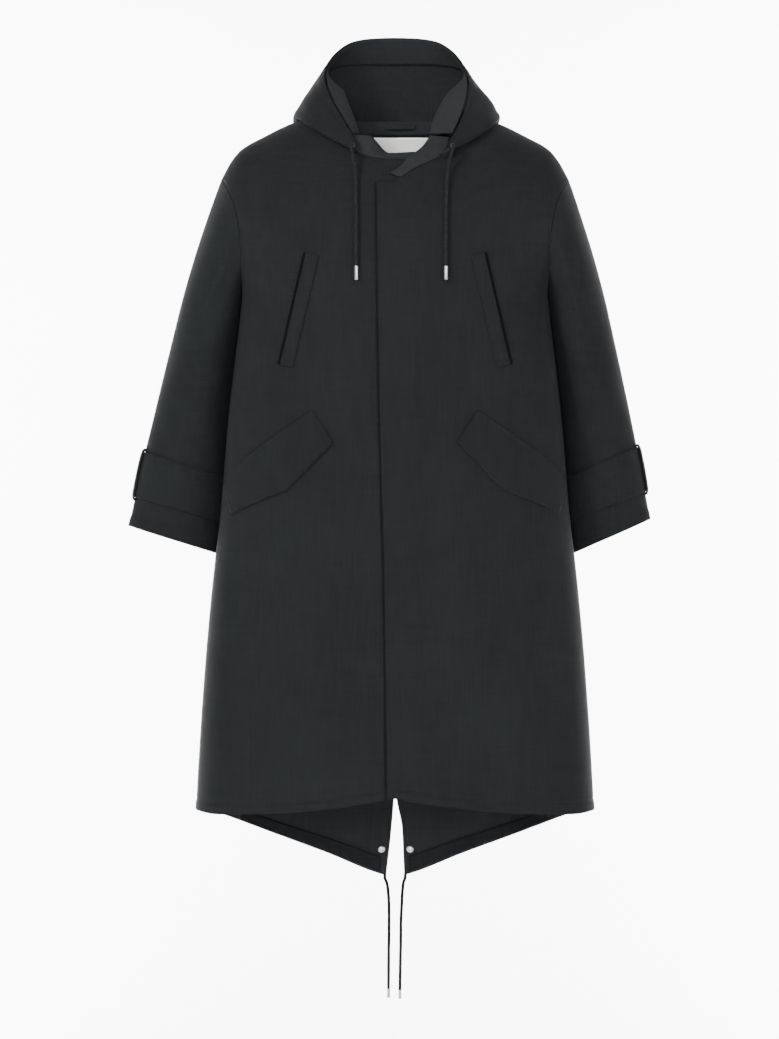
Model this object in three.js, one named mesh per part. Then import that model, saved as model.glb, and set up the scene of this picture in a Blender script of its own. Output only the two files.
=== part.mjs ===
// A hooded parka with a fishtail back, filled out with nobody in it.
// Millimetres. +X is the wearer's left, +Y the wearer's back, +Z up.
// The origin is the middle of the neck opening, level with the back neck seam.
import * as THREE from "three";

// Driving sizes
const CLOTH = 2;
const SEAM_GAP = 0.6;
const ARMHOLE_GAP = 0.8;
const DOME_BASE = -150;
const UNDERARM = -262;
const SIDE_POWER = 2.6;
const NECK_HALF_WIDTH = 100;
const FLY_LIFT = 2.9;
const UNDERLAP = 26;
const NECK_SHIFT = 12;
const CORD_DIAMETER = 6;
const TAIL_CORD_DIAMETER = 5.4;

// Horizontal sections of the body, from the chest to the hem
const BODY = [
  { z: -1090, halfWidth: 319, front: 152, back: 152 },
  { z: -1006, halfWidth: 314.5, front: 150, back: 151 },
  { z: -878, halfWidth: 306, front: 146, back: 148 },
  { z: -750, halfWidth: 295, front: 141, back: 143 },
  { z: -680, halfWidth: 287.5, front: 138, back: 141 },
  { z: -617, halfWidth: 280, front: 136, back: 139 },
  { z: -462, halfWidth: 267, front: 133, back: 135 },
  { z: -345, halfWidth: 254, front: 132, back: 132 },
  { z: -290, halfWidth: 248, front: 131, back: 130 },
  { z: -262, halfWidth: 246, front: 131, back: 129 },
  { z: -206, halfWidth: 266, front: 130.5, back: 128 },
  { z: -150, halfWidth: 290, front: 130, back: 127 },
];

// Shoulder line in front view, carried on to the middle of the neck
const SHOULDER = [
  { x: 0, z: 60 },
  { x: 60, z: 45 },
  { x: 100, z: 30 },
  { x: 160, z: 14 },
  { x: 211, z: -10 },
  { x: 246, z: -30 },
  { x: 262, z: -49 },
  { x: 278, z: -78 },
];

// Armhole seam in front view
const ARMHOLE = [
  { z: -262, x: 246 },
  { z: -220, x: 244.5 },
  { z: -179, x: 245.5 },
  { z: -133, x: 253 },
  { z: -107, x: 262 },
  { z: -78, x: 278 },
];

// Height of the necklines over the distance from the middle, below 0 past it
const LEFT_FRONT_NECK = [
  { x: -30, z: -90 },
  { x: -4, z: -90 },
  { x: 10, z: -78 },
  { x: 28, z: -63 },
  { x: 52, z: -52 },
  { x: 73, z: -40 },
  { x: 85, z: -22 },
  { x: 95, z: 8 },
  { x: 100, z: 30 },
];
const RIGHT_FRONT_NECK = [
  { x: -26, z: -51 },
  { x: 9, z: -51 },
  { x: 40, z: -47 },
  { x: 68, z: -36 },
  { x: 85, z: -14 },
  { x: 95, z: 10 },
  { x: 100, z: 30 },
];
const BACK_NECK = [
  { x: 0, z: 0 },
  { x: 30, z: 0.5 },
  { x: 55, z: 3 },
  { x: 78, z: 11 },
  { x: 92, z: 22 },
  { x: 100, z: 30 },
];

// Height of the hem over the distance from the middle
const FRONT_HEM = [
  { x: 0, z: -1060 },
  { x: 30, z: -1066 },
  { x: 105, z: -1077 },
  { x: 180, z: -1084 },
  { x: 285, z: -1088 },
  { x: 318, z: -1084 },
];
const BACK_HEM = [
  { x: 0, z: -1202 },
  { x: 14, z: -1199 },
  { x: 105, z: -1165 },
  { x: 195, z: -1132 },
  { x: 286, z: -1096 },
  { x: 318, z: -1084 },
];

// Free edge of the fly, and the edges of the tail's vent, over the height
const FLY_EDGE = [
  { z: -1090, x: -12 },
  { z: -749, x: -16 },
  { z: -440, x: -24 },
  { z: -82, x: -29 },
];
const VENT_RIGHT_HALF = [
  { z: -1200, x: 14 },
  { z: -1130, x: 6 },
  { z: -1066, x: 1.4 },
  { z: -900, x: 0.7 },
];
const VENT_LEFT_HALF = [
  { z: -1200, x: 15 },
  { z: -1176, x: 14 },
  { z: -1124, x: 11.5 },
  { z: -1066, x: 1.6 },
  { z: -900, x: 0.7 },
];

// Sections of the sleeve, each a ring from its outer to its inner point
const SLEEVE = [
  { outerX: 278, outerZ: -78, innerX: 246, innerZ: -262, depth: 86, middleY: 0, armhole: 1 },
  { outerX: 289, outerZ: -107, innerX: 247.6, innerZ: -269, depth: 88, middleY: 10, armhole: 0.72 },
  { outerX: 301.5, outerZ: -142, innerX: 248.4, innerZ: -283, depth: 90, middleY: 20, armhole: 0.35 },
  { outerX: 322.5, outerZ: -206, innerX: 251.2, innerZ: -318, depth: 90, middleY: 32, armhole: 0.05 },
  { outerX: 340.5, outerZ: -270, innerX: 254.4, innerZ: -356, depth: 88, middleY: 42, armhole: 0 },
  { outerX: 356, outerZ: -334, innerX: 258.4, innerZ: -400, depth: 82, middleY: 48, armhole: 0 },
  { outerX: 371, outerZ: -398, innerX: 263.1, innerZ: -450, depth: 74, middleY: 50, armhole: 0 },
  { outerX: 385.5, outerZ: -462, innerX: 267.4, innerZ: -505, depth: 64, middleY: 50, armhole: 0 },
  { outerX: 396, outerZ: -509, innerX: 271, innerZ: -555, depth: 57, middleY: 50, armhole: 0 },
  { outerX: 410.5, outerZ: -581, innerX: 277.5, innerZ: -627, depth: 49, middleY: 50, armhole: 0 },
  { outerX: 420, outerZ: -626, innerX: 283.5, innerZ: -677, depth: 45, middleY: 50, armhole: 0 },
];
const SLEEVE_SWING = 9;
const STRAP_FROM = 8;
const STRAP_TO = 9;

// Sections of half of the hood, from the middle of the back to the front end.
// Each runs from the neck seam, down the back, round the pouch and up to the rim.
const HOOD_COLUMNS = ["neck", "near", "low", "swell", "upper", "rim"];
const FACING_EDGE = [
  { station: 0, left: 0, right: 0, y: 148, z: 118 },
  { station: 1, left: 66, right: 66, y: 134, z: 117 },
  { station: 2, left: 98, right: 98, y: 106, z: 107 },
  { station: 3, left: 101.4, right: 91.6, y: 64, z: 88 },
  { station: 4, left: 82, right: 86, y: 28, z: 60 },
  { station: 5, left: 61, right: 80, y: -10, z: 30 },
  { station: 6, left: 47, right: 73.5, y: -47, z: 0 },
];
const HOOD = [
  {
    neck: [0, 68, 2], near: [0, 108, -48], low: [0, 146, -112],
    swell: [0, 177, -25], upper: [0, 166, 76], rim: [0, 126, 161],
  },
  {
    neck: [36, 64, 4], near: [50, 102, -42], low: [68, 138, -98],
    swell: [82, 164, -16], upper: [76, 152, 78], rim: [59, 118, 156],
  },
  {
    neck: [68, 56, 9], near: [92, 86, -18], low: [116, 116, -56],
    swell: [132, 134, 0], upper: [124, 122, 78], rim: [90, 98, 138],
  },
  {
    neck: [92, 24, 25], near: [118, 52, 6], low: [146, 76, -14],
    swell: [161, 82, 16], upper: [148, 74, 56], rim: [110, 62, 109],
  },
  {
    neck: [100, -12, 29], near: [122, 2, 22], low: [150, 16, 12],
    swell: [164, 12, 24], upper: [146, 8, 52], rim: [115, 14, 77],
  },
  {
    neck: [94, -52, 8], near: [114, -40, 12], low: [140, -46, 2],
    swell: [147, -48, 12], upper: [130, -42, 30], rim: [106, -34, 40],
  },
  {
    neck: [80, -86, -24], near: [92, -84, -18], low: [110, -84, -20],
    swell: [112, -84, -12], upper: [102, -80, -2], rim: [90, -74, 5],
  },
  {
    neck: [60, -103, -48], near: [64, -105, -44], low: [72, -107, -40],
    swell: [74, -107, -36], upper: [74, -105, -32], rim: [72, -101, -29],
  },
];
const HOOD_SIDE_SEAM = 2;
const HOOD_CLEARANCE = 2.1;
const RIDGE_CLEARANCE = 1.7;

// Pieces that lie on the fronts. Along and down are measured on the cloth.
const FLAP = { girth: 131, height: -449, slope: 0.51, length: 208, end: 61, point: 84, pointAt: 102 };
const WELT = { topX: 132, topZ: -203, bottomX: 173, bottomZ: -379, width: 24, slant: 0.25 };
const TRIM = 1.8;
const TRIM_LIFT = 0.6;

// Plain vector help
function vector(x, y, z) {
  return new THREE.Vector3(x, y, z);
}

function mix(a, b, t) {
  return a + (b - a) * t;
}

function clamp01(t) {
  return Math.min(1, Math.max(0, t));
}

function ease(t) {
  const u = clamp01(t);
  return u * u * (3 - 2 * u);
}

// Smooth curve through the rows of a table, with one column as its abscissa
function along(table, key, column, at) {
  const last = table.length - 1;
  const value = Math.min(Math.max(at, table[0][key]), table[last][key]);
  let i = 0;
  while (i < last - 1 && table[i + 1][key] < value) i += 1;
  const slope = (j) => (table[j + 1][column] - table[j][column]) / (table[j + 1][key] - table[j][key]);
  const here = slope(i);
  const before = i > 0 ? slope(i - 1) : here;
  const after = i < last - 1 ? slope(i + 1) : here;
  const joined = (a, b) => (a * b > 0 ? (2 * a * b) / (a + b) : 0);
  const m0 = joined(before, here);
  const m1 = joined(here, after);
  const width = table[i + 1][key] - table[i][key];
  const t = (value - table[i][key]) / width;
  const t2 = t * t;
  const t3 = t2 * t;
  const start = table[i][column];
  const stop = table[i + 1][column];
  return (
    start * (2 * t3 - 3 * t2 + 1) +
    m0 * width * (t3 - 2 * t2 + t) +
    stop * (3 * t2 - 2 * t3) +
    m1 * width * (t3 - t2)
  );
}

// The body's surface, first below the shoulders and then over them
function halfWidthAt(z) {
  return along(BODY, "z", "halfWidth", z);
}

function sectionDepth(x, z, face) {
  const share = clamp01(Math.abs(x) / halfWidthAt(z));
  return along(BODY, "z", face, z) * (1 - share ** SIDE_POWER) ** (1 / SIDE_POWER);
}

function shoulderAt(x) {
  return along(SHOULDER, "x", "z", Math.abs(x));
}

function domePower(x) {
  return mix(1.5, 2, ease(Math.abs(x) / 250));
}

function bodyDepth(x, z, face) {
  if (z <= DOME_BASE) return sectionDepth(x, z, face);
  const power = domePower(x);
  const rise = clamp01((z - DOME_BASE) / (shoulderAt(x) - DOME_BASE));
  return sectionDepth(x, DOME_BASE, face) * (1 - rise ** power) ** (1 / power);
}

// Below 1 inside the body, above 1 outside
function bodyValue(x, y, z) {
  const face = y < 0 ? "front" : "back";
  if (z <= DOME_BASE) {
    const across = (Math.abs(x) / halfWidthAt(z)) ** SIDE_POWER;
    return across + (Math.abs(y) / along(BODY, "z", face, z)) ** SIDE_POWER;
  }
  const power = domePower(x);
  const rise = (z - DOME_BASE) / (shoulderAt(x) - DOME_BASE);
  return (Math.abs(y) / sectionDepth(x, DOME_BASE, face)) ** power + rise ** power;
}

function bodyGradient(p) {
  const h = 0.2;
  return vector(
    bodyValue(p.x + h, p.y, p.z) - bodyValue(p.x - h, p.y, p.z),
    bodyValue(p.x, p.y + h, p.z) - bodyValue(p.x, p.y - h, p.z),
    bodyValue(p.x, p.y, p.z + h) - bodyValue(p.x, p.y, p.z - h),
  ).divideScalar(2 * h);
}

function bodyNormal(p) {
  return bodyGradient(p).normalize();
}

// Moves a point out until it clears the body's surface
function liftOffBody(p, clearance) {
  const out = p.clone();
  for (let turn = 0; turn < 4; turn += 1) {
    const gradient = bodyGradient(out);
    const size = gradient.length();
    const distance = (bodyValue(out.x, out.y, out.z) - 1) / size;
    if (distance < clearance) out.addScaledVector(gradient, (clearance - distance) / size);
  }
  return out;
}

// Point of the body's surface, moved out by an offset
function bodyPoint(x, z, face, offset) {
  const sign = face === "front" ? -1 : 1;
  const p = vector(x, sign * bodyDepth(x, z, face), z);
  return p.addScaledVector(bodyNormal(p), offset);
}

// Solids from grids of points
function closedGeometry(positions, triangles) {
  const at = (i) => vector(positions[3 * i], positions[3 * i + 1], positions[3 * i + 2]);
  let volume = 0;
  for (let i = 0; i < triangles.length; i += 3) {
    volume += at(triangles[i]).dot(at(triangles[i + 1]).cross(at(triangles[i + 2])));
  }
  const faces = volume > 0 ? triangles : triangles.slice().reverse();
  const geometry = new THREE.BufferGeometry();
  geometry.setAttribute("position", new THREE.Float32BufferAttribute(positions, 3));
  geometry.setIndex(faces);
  geometry.computeVertexNormals();
  return geometry;
}

// A wall between two grids of the same size, closed round its border
function wallGeometry(outer, inner) {
  const rows = outer.length;
  const columns = outer[0].length;
  const count = rows * columns;
  const positions = [];
  for (const grid of [outer, inner]) {
    for (const row of grid) {
      for (const p of row) positions.push(p.x, p.y, p.z);
    }
  }
  const triangles = [];
  const quad = (a, b, c, d) => triangles.push(a, b, c, a, c, d);
  const at = (r, c) => r * columns + c;
  for (let r = 0; r < rows - 1; r += 1) {
    for (let c = 0; c < columns - 1; c += 1) {
      quad(at(r, c), at(r, c + 1), at(r + 1, c + 1), at(r + 1, c));
      quad(count + at(r + 1, c), count + at(r + 1, c + 1), count + at(r, c + 1), count + at(r, c));
    }
  }
  const border = [];
  for (let c = 0; c < columns - 1; c += 1) border.push(at(0, c));
  for (let r = 0; r < rows - 1; r += 1) border.push(at(r, columns - 1));
  for (let c = columns - 1; c > 0; c -= 1) border.push(at(rows - 1, c));
  for (let r = rows - 1; r > 0; r -= 1) border.push(at(r, 0));
  border.forEach((a, i) => {
    const b = border[(i + 1) % border.length];
    quad(b, a, count + a, count + b);
  });
  return closedGeometry(positions, triangles);
}

// Normals of a grid from its neighbours
function gridNormals(grid, closed) {
  const rows = grid.length;
  const columns = grid[0].length;
  return grid.map((row, r) =>
    row.map((_, c) => {
      const up = grid[Math.max(r - 1, 0)][c];
      const down = grid[Math.min(r + 1, rows - 1)][c];
      const left = closed ? row[(c + columns - 1) % columns] : row[Math.max(c - 1, 0)];
      const right = closed ? row[(c + 1) % columns] : row[Math.min(c + 1, columns - 1)];
      return right.clone().sub(left).cross(down.clone().sub(up)).normalize();
    }),
  );
}

function offsetGrid(grid, normals, distance) {
  return grid.map((row, r) => row.map((p, c) => p.clone().addScaledVector(normals[r][c], distance)));
}

// A wall whose middle is the given grid
function sheetGeometry(grid, thickness) {
  const normals = gridNormals(grid, false);
  return wallGeometry(offsetGrid(grid, normals, thickness / 2), offsetGrid(grid, normals, -thickness / 2));
}

// Scene graph
const group = new THREE.Group();
const FINISH = {
  cloth: { color: 0x2a2c2e, roughness: 0.85, metalness: 0 },
  cord: { color: 0x232527, roughness: 0.9, metalness: 0 },
  metal: { color: 0xb4b6b8, roughness: 0.3, metalness: 1 },
  label: { color: 0xf1f0ec, roughness: 0.75, metalness: 0 },
};

function add(name, geometry, finish) {
  const mesh = new THREE.Mesh(geometry, new THREE.MeshStandardMaterial(FINISH[finish]));
  mesh.name = name;
  group.add(mesh);
  return mesh;
}

const SIDES = [
  { name: "left", sign: 1 },
  { name: "right", sign: -1 },
];

// Body panels: rows run from the neck and shoulder down to the hem
const ACROSS = [0, 0.06, 0.12, 0.18, 0.235, 0.285, 0.325, 0.35, 0.46, 0.6, 0.73, 0.84, 0.92, 0.97, 1];
const DOME_ROWS = 6;
const ARMHOLE_ROWS = 4;
const SKIRT_ROWS = 9;

function armholeAt(z) {
  return along(ARMHOLE, "z", "x", z);
}

// Height of the armhole seam at a share of the dome, found by halving
function armholeHeight(rise) {
  let low = DOME_BASE;
  let high = ARMHOLE[ARMHOLE.length - 1].z;
  for (let turn = 0; turn < 40; turn += 1) {
    const z = (low + high) / 2;
    const reached = DOME_BASE + (shoulderAt(armholeAt(z)) - DOME_BASE) * rise;
    if (z < reached) low = z;
    else high = z;
  }
  return (low + high) / 2;
}

// Angle of the dome at the neckline, 1 at the shoulder line
function neckReach(x, neck) {
  if (x >= NECK_HALF_WIDTH) return 1;
  const rise = (along(neck, "x", "z", x) - DOME_BASE) / (shoulderAt(x) - DOME_BASE);
  return Math.asin(clamp01(rise) ** (domePower(x) / 2)) / (Math.PI / 2);
}

function domePoint(middle, share, step, neck) {
  const edgePower = domePower(armholeAt(DOME_BASE));
  const edgeX = (v) => armholeAt(armholeHeight(Math.sin((v * Math.PI) / 2) ** (2 / edgePower)));
  const topX = mix(middle(DOME_BASE), edgeX(1), share);
  const v = step * neckReach(topX, neck);
  const x = mix(middle(DOME_BASE), edgeX(share > 0.4 ? v : step), share);
  const rise = Math.sin((v * Math.PI) / 2) ** (2 / domePower(x));
  return { x, z: DOME_BASE + (shoulderAt(x) - DOME_BASE) * rise };
}

function armholeRowPoint(middle, share, step) {
  const z = mix(DOME_BASE, UNDERARM, Math.sin((step * Math.PI) / 2));
  return { x: mix(middle(z), armholeAt(z), share), z };
}

function skirtPoint(middle, share, step, hem) {
  const low = BODY[0].z;
  const hemX = mix(middle(low), halfWidthAt(low), share);
  const z = mix(UNDERARM, along(hem, "x", "z", Math.abs(hemX)), step);
  return { x: mix(middle(z), halfWidthAt(z), share), z };
}

// One panel's grid of places, from the middle edge to the armhole and side seam
function panelPlaces(middle, neck, hem) {
  const rows = [];
  for (let i = 0; i < DOME_ROWS; i += 1) {
    rows.push(ACROSS.map((share) => domePoint(middle, share, 1 - i / DOME_ROWS, neck)));
  }
  for (let i = 0; i < ARMHOLE_ROWS; i += 1) {
    rows.push(ACROSS.map((share) => armholeRowPoint(middle, share, i / ARMHOLE_ROWS)));
  }
  for (let i = 0; i <= SKIRT_ROWS; i += 1) {
    rows.push(ACROSS.map((share) => skirtPoint(middle, share, i / SKIRT_ROWS, hem)));
  }
  return rows;
}

// Turns places into points, keeps the seams apart and adds the fly's lift
function panelPoints(places, sign, face, lift) {
  const out = face === "front" ? -1 : 1;
  const points = places.map((row) =>
    row.map(({ x, z }) => {
      const p = vector(sign * x, out * bodyDepth(x, z, face), z);
      if (out * p.y < SEAM_GAP / 2) p.y = (out * SEAM_GAP) / 2;
      return p;
    }),
  );
  const normals = points.map((row) => row.map(bodyNormal));
  const raise = places.map((row) => row.map(({ x }) => lift(x)));
  const shift = (distance) =>
    points.map((row, r) =>
      row.map((p, c) => p.clone().addScaledVector(normals[r][c], raise[r][c] - distance)),
    );
  return { outer: shift(0), inner: shift(CLOTH) };
}

function flyLift(x) {
  return FLY_LIFT * (1 - ease((x - 30) / 45));
}

const flat = () => 0;
const PANELS = {
  left_front: {
    sign: 1, face: "front", neck: LEFT_FRONT_NECK, hem: FRONT_HEM, lift: flyLift,
    middle: (z) => along(FLY_EDGE, "z", "x", z),
  },
  right_front: {
    sign: -1, face: "front", neck: RIGHT_FRONT_NECK, hem: FRONT_HEM, lift: flat,
    middle: () => -UNDERLAP,
  },
  back_left: {
    sign: 1, face: "back", neck: BACK_NECK, hem: BACK_HEM, lift: flat,
    middle: (z) => along(VENT_LEFT_HALF, "z", "x", z),
  },
  back_right: {
    sign: -1, face: "back", neck: BACK_NECK, hem: BACK_HEM, lift: flat,
    middle: (z) => along(VENT_RIGHT_HALF, "z", "x", z),
  },
};

const panelGrids = {};
for (const [name, panel] of Object.entries(PANELS)) {
  const places = panelPlaces(panel.middle, panel.neck, panel.hem);
  panelGrids[name] = panelPoints(places, panel.sign, panel.face, panel.lift);
  add(name, wallGeometry(panelGrids[name].outer, panelGrids[name].inner), "cloth");
}

// Sleeves
const ARMHOLE_STEPS = DOME_ROWS + ARMHOLE_ROWS;
const SLEEVE_RINGS = 14;
const UNDER_FRONT_STEP = 10;
const UNDER_BACK_STEP = 13;
const SLEEVE_PULL = 0.25;

function ringAngle(step) {
  if (step <= DOME_ROWS) return (step / DOME_ROWS) * (Math.PI / 2);
  return (Math.PI / 2) * (1 + (step - DOME_ROWS) / ARMHOLE_ROWS);
}

function sleeveRow(place) {
  const rows = SLEEVE.map((row, i) => ({ ...row, place: i }));
  const read = (column) => along(rows, "place", column, place);
  return {
    outerX: read("outerX"),
    outerZ: read("outerZ"),
    innerX: read("innerX"),
    innerZ: read("innerZ"),
    depth: read("depth"),
    middleY: read("middleY"),
    armhole: read("armhole"),
    swing: SLEEVE_SWING * clamp01(place / (SLEEVE.length - 1)) ** 1.5,
  };
}

// Point of a sleeve: the angle is 0 at the outer edge and a quarter turn at the front
function sleevePoint(sign, place, angle) {
  const row = sleeveRow(place);
  const outerX = row.outerX - sign * row.swing;
  const outerZ = row.outerZ + sign * row.swing * 0.6;
  const cos = Math.cos(angle);
  const x = mix(row.innerX, outerX, (1 + cos) / 2);
  const z = mix(row.innerZ, outerZ, (1 + cos) / 2);
  return vector(sign * x, row.middleY - row.depth * Math.sin(angle), z);
}

function sleeveNormal(sign, place, angle) {
  const h = 0.01;
  const alongSleeve = sleevePoint(sign, place + h, angle).sub(sleevePoint(sign, place - h, angle));
  const round = sleevePoint(sign, place, angle + h).sub(sleevePoint(sign, place, angle - h));
  return round.cross(alongSleeve).multiplyScalar(sign).normalize();
}

function sleeveSurface(sign, place, angle, offset) {
  const p = sleevePoint(sign, place, angle);
  return p.addScaledVector(sleeveNormal(sign, place, angle), offset);
}

// The armhole as a closed ring of points of the two panels that meet there
function armholeRing(side, grid) {
  const last = ACROSS.length - 1;
  const front = panelGrids[`${side}_front`][grid];
  const back = panelGrids[`back_${side}`][grid];
  const ring = [];
  for (let r = 0; r <= ARMHOLE_STEPS; r += 1) ring.push(front[r][last].clone());
  for (let r = ARMHOLE_STEPS - 1; r > 0; r -= 1) ring.push(back[r][last].clone());
  ring[0].y = 0;
  ring[ARMHOLE_STEPS].y = 0;
  return ring;
}

function sleeveGrids(side) {
  const ringAngles = [];
  for (let r = 0; r <= ARMHOLE_STEPS; r += 1) ringAngles.push(ringAngle(r));
  for (let r = ARMHOLE_STEPS - 1; r > 0; r -= 1) ringAngles.push(-ringAngle(r));
  const seam = armholeRing(side.name, "outer");
  const seamInner = armholeRing(side.name, "inner");
  const start = ringAngles.map((angle) => sleevePoint(side.sign, 0, angle));
  const places = [];
  for (let i = 0; i <= SLEEVE_RINGS; i += 1) {
    places.push((SLEEVE.length - 1) * (i / SLEEVE_RINGS) ** 1.12);
  }
  const outer = places.map((place) =>
    ringAngles.map((angle, m) => {
      const share = sleeveRow(place).armhole;
      const p = sleevePoint(side.sign, place, angle);
      return p.addScaledVector(seam[m].clone().sub(start[m]), share);
    }),
  );
  const normals = gridNormals(outer, true);
  const inner = offsetGrid(outer, normals, side.sign * -CLOTH);
  const gap = vector(side.sign * ARMHOLE_GAP, 0, -ARMHOLE_GAP * 0.4);
  outer[0] = seam.map((p) => p.clone().add(gap));
  // The wall starts like the panel's edge, but turns over under the arm
  inner[0] = seam.map((p, m) => {
    const panelWall = seamInner[m].clone().sub(p).normalize();
    const sleeveWall = inner[1][m].clone().sub(outer[1][m]).normalize();
    const turn = ease((0.8 - panelWall.dot(sleeveWall)) / 0.6);
    const wall = panelWall.lerp(sleeveWall, turn).normalize();
    return outer[0][m].clone().addScaledVector(wall, CLOTH);
  });
  return { outer, inner };
}

// Cuts a run of steps out of the closed rings and draws its two long edges in
function sleevePiece(grids, first, count) {
  const size = grids.outer[0].length;
  const pick = (grid) =>
    grid.map((ring) => {
      const run = [];
      for (let k = 0; k <= count; k += 1) run.push(ring[(first + k + size) % size].clone());
      const pull = (edge, next) => edge.lerp(next, SLEEVE_PULL / edge.distanceTo(next));
      pull(run[0], run[1]);
      pull(run[count], run[count - 1]);
      return run;
    });
  return wallGeometry(pick(grids.outer), pick(grids.inner));
}

for (const side of SIDES) {
  const grids = sleeveGrids(side);
  const round = grids.outer[0].length;
  const under = UNDER_BACK_STEP - UNDER_FRONT_STEP;
  add(`${side.name}_top_sleeve`, sleevePiece(grids, UNDER_BACK_STEP, round - under), "cloth");
  add(`${side.name}_under_sleeve`, sleevePiece(grids, UNDER_FRONT_STEP, under), "cloth");
}

// A patch of a sleeve between two places and two angles
function sleevePatch(sign, places, angles, offsets, thickness) {
  const layer = (extra) =>
    places.map((place, r) => angles.map((angle) => sleeveSurface(sign, place, angle, offsets[r] + extra)));
  return wallGeometry(layer(thickness), layer(0));
}

function steps(from, to, count) {
  return Array.from({ length: count + 1 }, (_, i) => mix(from, to, i / count));
}

// Cuff straps run round the sleeve, and a keeper holds each one at the outer edge
const STRAP_LIFT = 0.7;
const STRAP_ANGLES = { from: -1.15, to: 2.72 };
const KEEPER_LIFT = STRAP_LIFT + CLOTH + 0.6;
const KEEPER_ANGLES = { from: -0.24, to: 0.3 };
const KEEPER_PROFILE = [
  { place: -0.1, lift: 0.6 },
  { place: -0.035, lift: KEEPER_LIFT },
  { place: 0.12, lift: KEEPER_LIFT + 1.5 },
  { place: 0.5, lift: KEEPER_LIFT + 2 },
  { place: 0.88, lift: KEEPER_LIFT + 1.5 },
  { place: 1.03, lift: KEEPER_LIFT },
  { place: 1.1, lift: 0.6 },
];
for (const side of SIDES) {
  const strapAngles = steps(STRAP_ANGLES.from, STRAP_ANGLES.to, 22);
  const strapPlaces = steps(STRAP_FROM, STRAP_TO, 3);
  const strapOffsets = strapPlaces.map(() => STRAP_LIFT);
  const strap = sleevePatch(side.sign, strapPlaces, strapAngles, strapOffsets, CLOTH);
  add(`${side.name}_cuff_strap`, strap, "cloth");
  const keeperPlaces = KEEPER_PROFILE.map(({ place }) => STRAP_FROM + place);
  const keeperOffsets = KEEPER_PROFILE.map(({ lift }) => lift);
  const keeperAngles = steps(KEEPER_ANGLES.from, KEEPER_ANGLES.to, 4);
  const keeper = sleevePatch(side.sign, keeperPlaces, keeperAngles, keeperOffsets, TRIM);
  add(`${side.name}_strap_keeper`, keeper, "cloth");
}

// Place on a front at a girth measured on the cloth from the middle
function frontAtGirth(girth, z) {
  const width = halfWidthAt(z);
  let gone = 0;
  let before = vector(0, bodyDepth(0, z, "front"), 0);
  const parts = 80;
  for (let i = 1; i <= parts; i += 1) {
    const x = width * Math.sin(((i / parts) * Math.PI) / 2);
    const here = vector(x, bodyDepth(x, z, "front"), 0);
    const length = here.distanceTo(before);
    if (gone + length >= girth) return mix(before.x, x, (girth - gone) / length);
    gone += length;
    before = here;
  }
  return width;
}

function trimPoint(sign, x, z, offset) {
  const lifted = sign > 0 ? flyLift(x) : 0;
  const p = bodyPoint(x, z, "front", offset + lifted);
  return vector(sign * p.x, p.y, p.z);
}

// Hip flaps: a straight top, square ends and a pointed lower edge
function flapPlace(alongFlap, down) {
  const length = Math.hypot(1, FLAP.slope);
  const runX = 1 / length;
  const runZ = FLAP.slope / length;
  const girth = FLAP.girth + alongFlap * runX - down * runZ;
  const z = FLAP.height - alongFlap * runZ - down * runX;
  return { x: frontAtGirth(girth, z), z };
}

function flapDrop(alongFlap) {
  const before = alongFlap < FLAP.pointAt;
  const share = before ? alongFlap / FLAP.pointAt : (FLAP.length - alongFlap) / (FLAP.length - FLAP.pointAt);
  return mix(FLAP.end, FLAP.point, share);
}

const FLAP_LIFT = 0.9;
const FLAP_FLARE = 1.2;
for (const side of SIDES) {
  const runs = [...steps(0, FLAP.pointAt, 6), ...steps(FLAP.pointAt, FLAP.length, 8).slice(1)];
  const layer = (offset) =>
    steps(0, 1, 4).map((share) =>
      runs.map((run) => {
        const { x, z } = flapPlace(run, share * flapDrop(run));
        return trimPoint(side.sign, x, z, offset + FLAP_FLARE * share * share);
      }),
    );
  const geometry = wallGeometry(layer(FLAP_LIFT + CLOTH), layer(FLAP_LIFT));
  add(`${side.name}_pocket_flap`, geometry, "cloth");
}

// Chest welts: a slanted strip beside each pocket's slit
for (const side of SIDES) {
  const layer = (offset) =>
    steps(0, 1, 8).map((down) =>
      steps(-0.5, 0.5, 2).map((across) => {
        const x = mix(WELT.topX, WELT.bottomX, down) + across * WELT.width;
        const z = mix(WELT.topZ, WELT.bottomZ, down) + across * WELT.width * WELT.slant;
        return trimPoint(side.sign, x, z, offset);
      }),
    );
  add(`${side.name}_chest_welt`, wallGeometry(layer(TRIM_LIFT + TRIM), layer(TRIM_LIFT)), "cloth");
}

// Hood: smooth in both directions through the points of its table
function catmull(a, b, c, d, t) {
  const t2 = t * t;
  const t3 = t2 * t;
  return 0.5 * (2 * b + (c - a) * t + (2 * a - 5 * b + 4 * c - d) * t2 + (3 * b - a - 3 * c + d) * t3);
}

function catmullPoint(points, at) {
  const last = points.length - 1;
  const i = Math.min(Math.floor(at), last - 1);
  const t = at - i;
  const mirrored = (k) => vector(-points[k].x, points[k].y, points[k].z);
  const before = i > 0 ? points[i - 1] : points.mirror ? mirrored(1) : points[0];
  const after = points[Math.min(i + 2, last)];
  const value = (axis) => catmull(before[axis], points[i][axis], points[i + 1][axis], after[axis], t);
  return vector(value("x"), value("y"), value("z"));
}

// Station runs from the middle of the back to a front end, profile from neck to rim
function hoodPoint(station, profile, offBody) {
  const sign = station < 0 ? -1 : 1;
  const controls = HOOD_COLUMNS.map((column) => {
    const points = HOOD.map((row) => vector(...row[column]));
    points.mirror = true;
    return catmullPoint(points, Math.abs(station));
  });
  const p = catmullPoint(controls, profile);
  p.x = sign * p.x + NECK_SHIFT * ease((Math.abs(station) - 2.5) / 4);
  return liftOffBody(p, offBody + RIDGE_CLEARANCE * Math.exp(-((p.y / 22) ** 2)));
}

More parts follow.
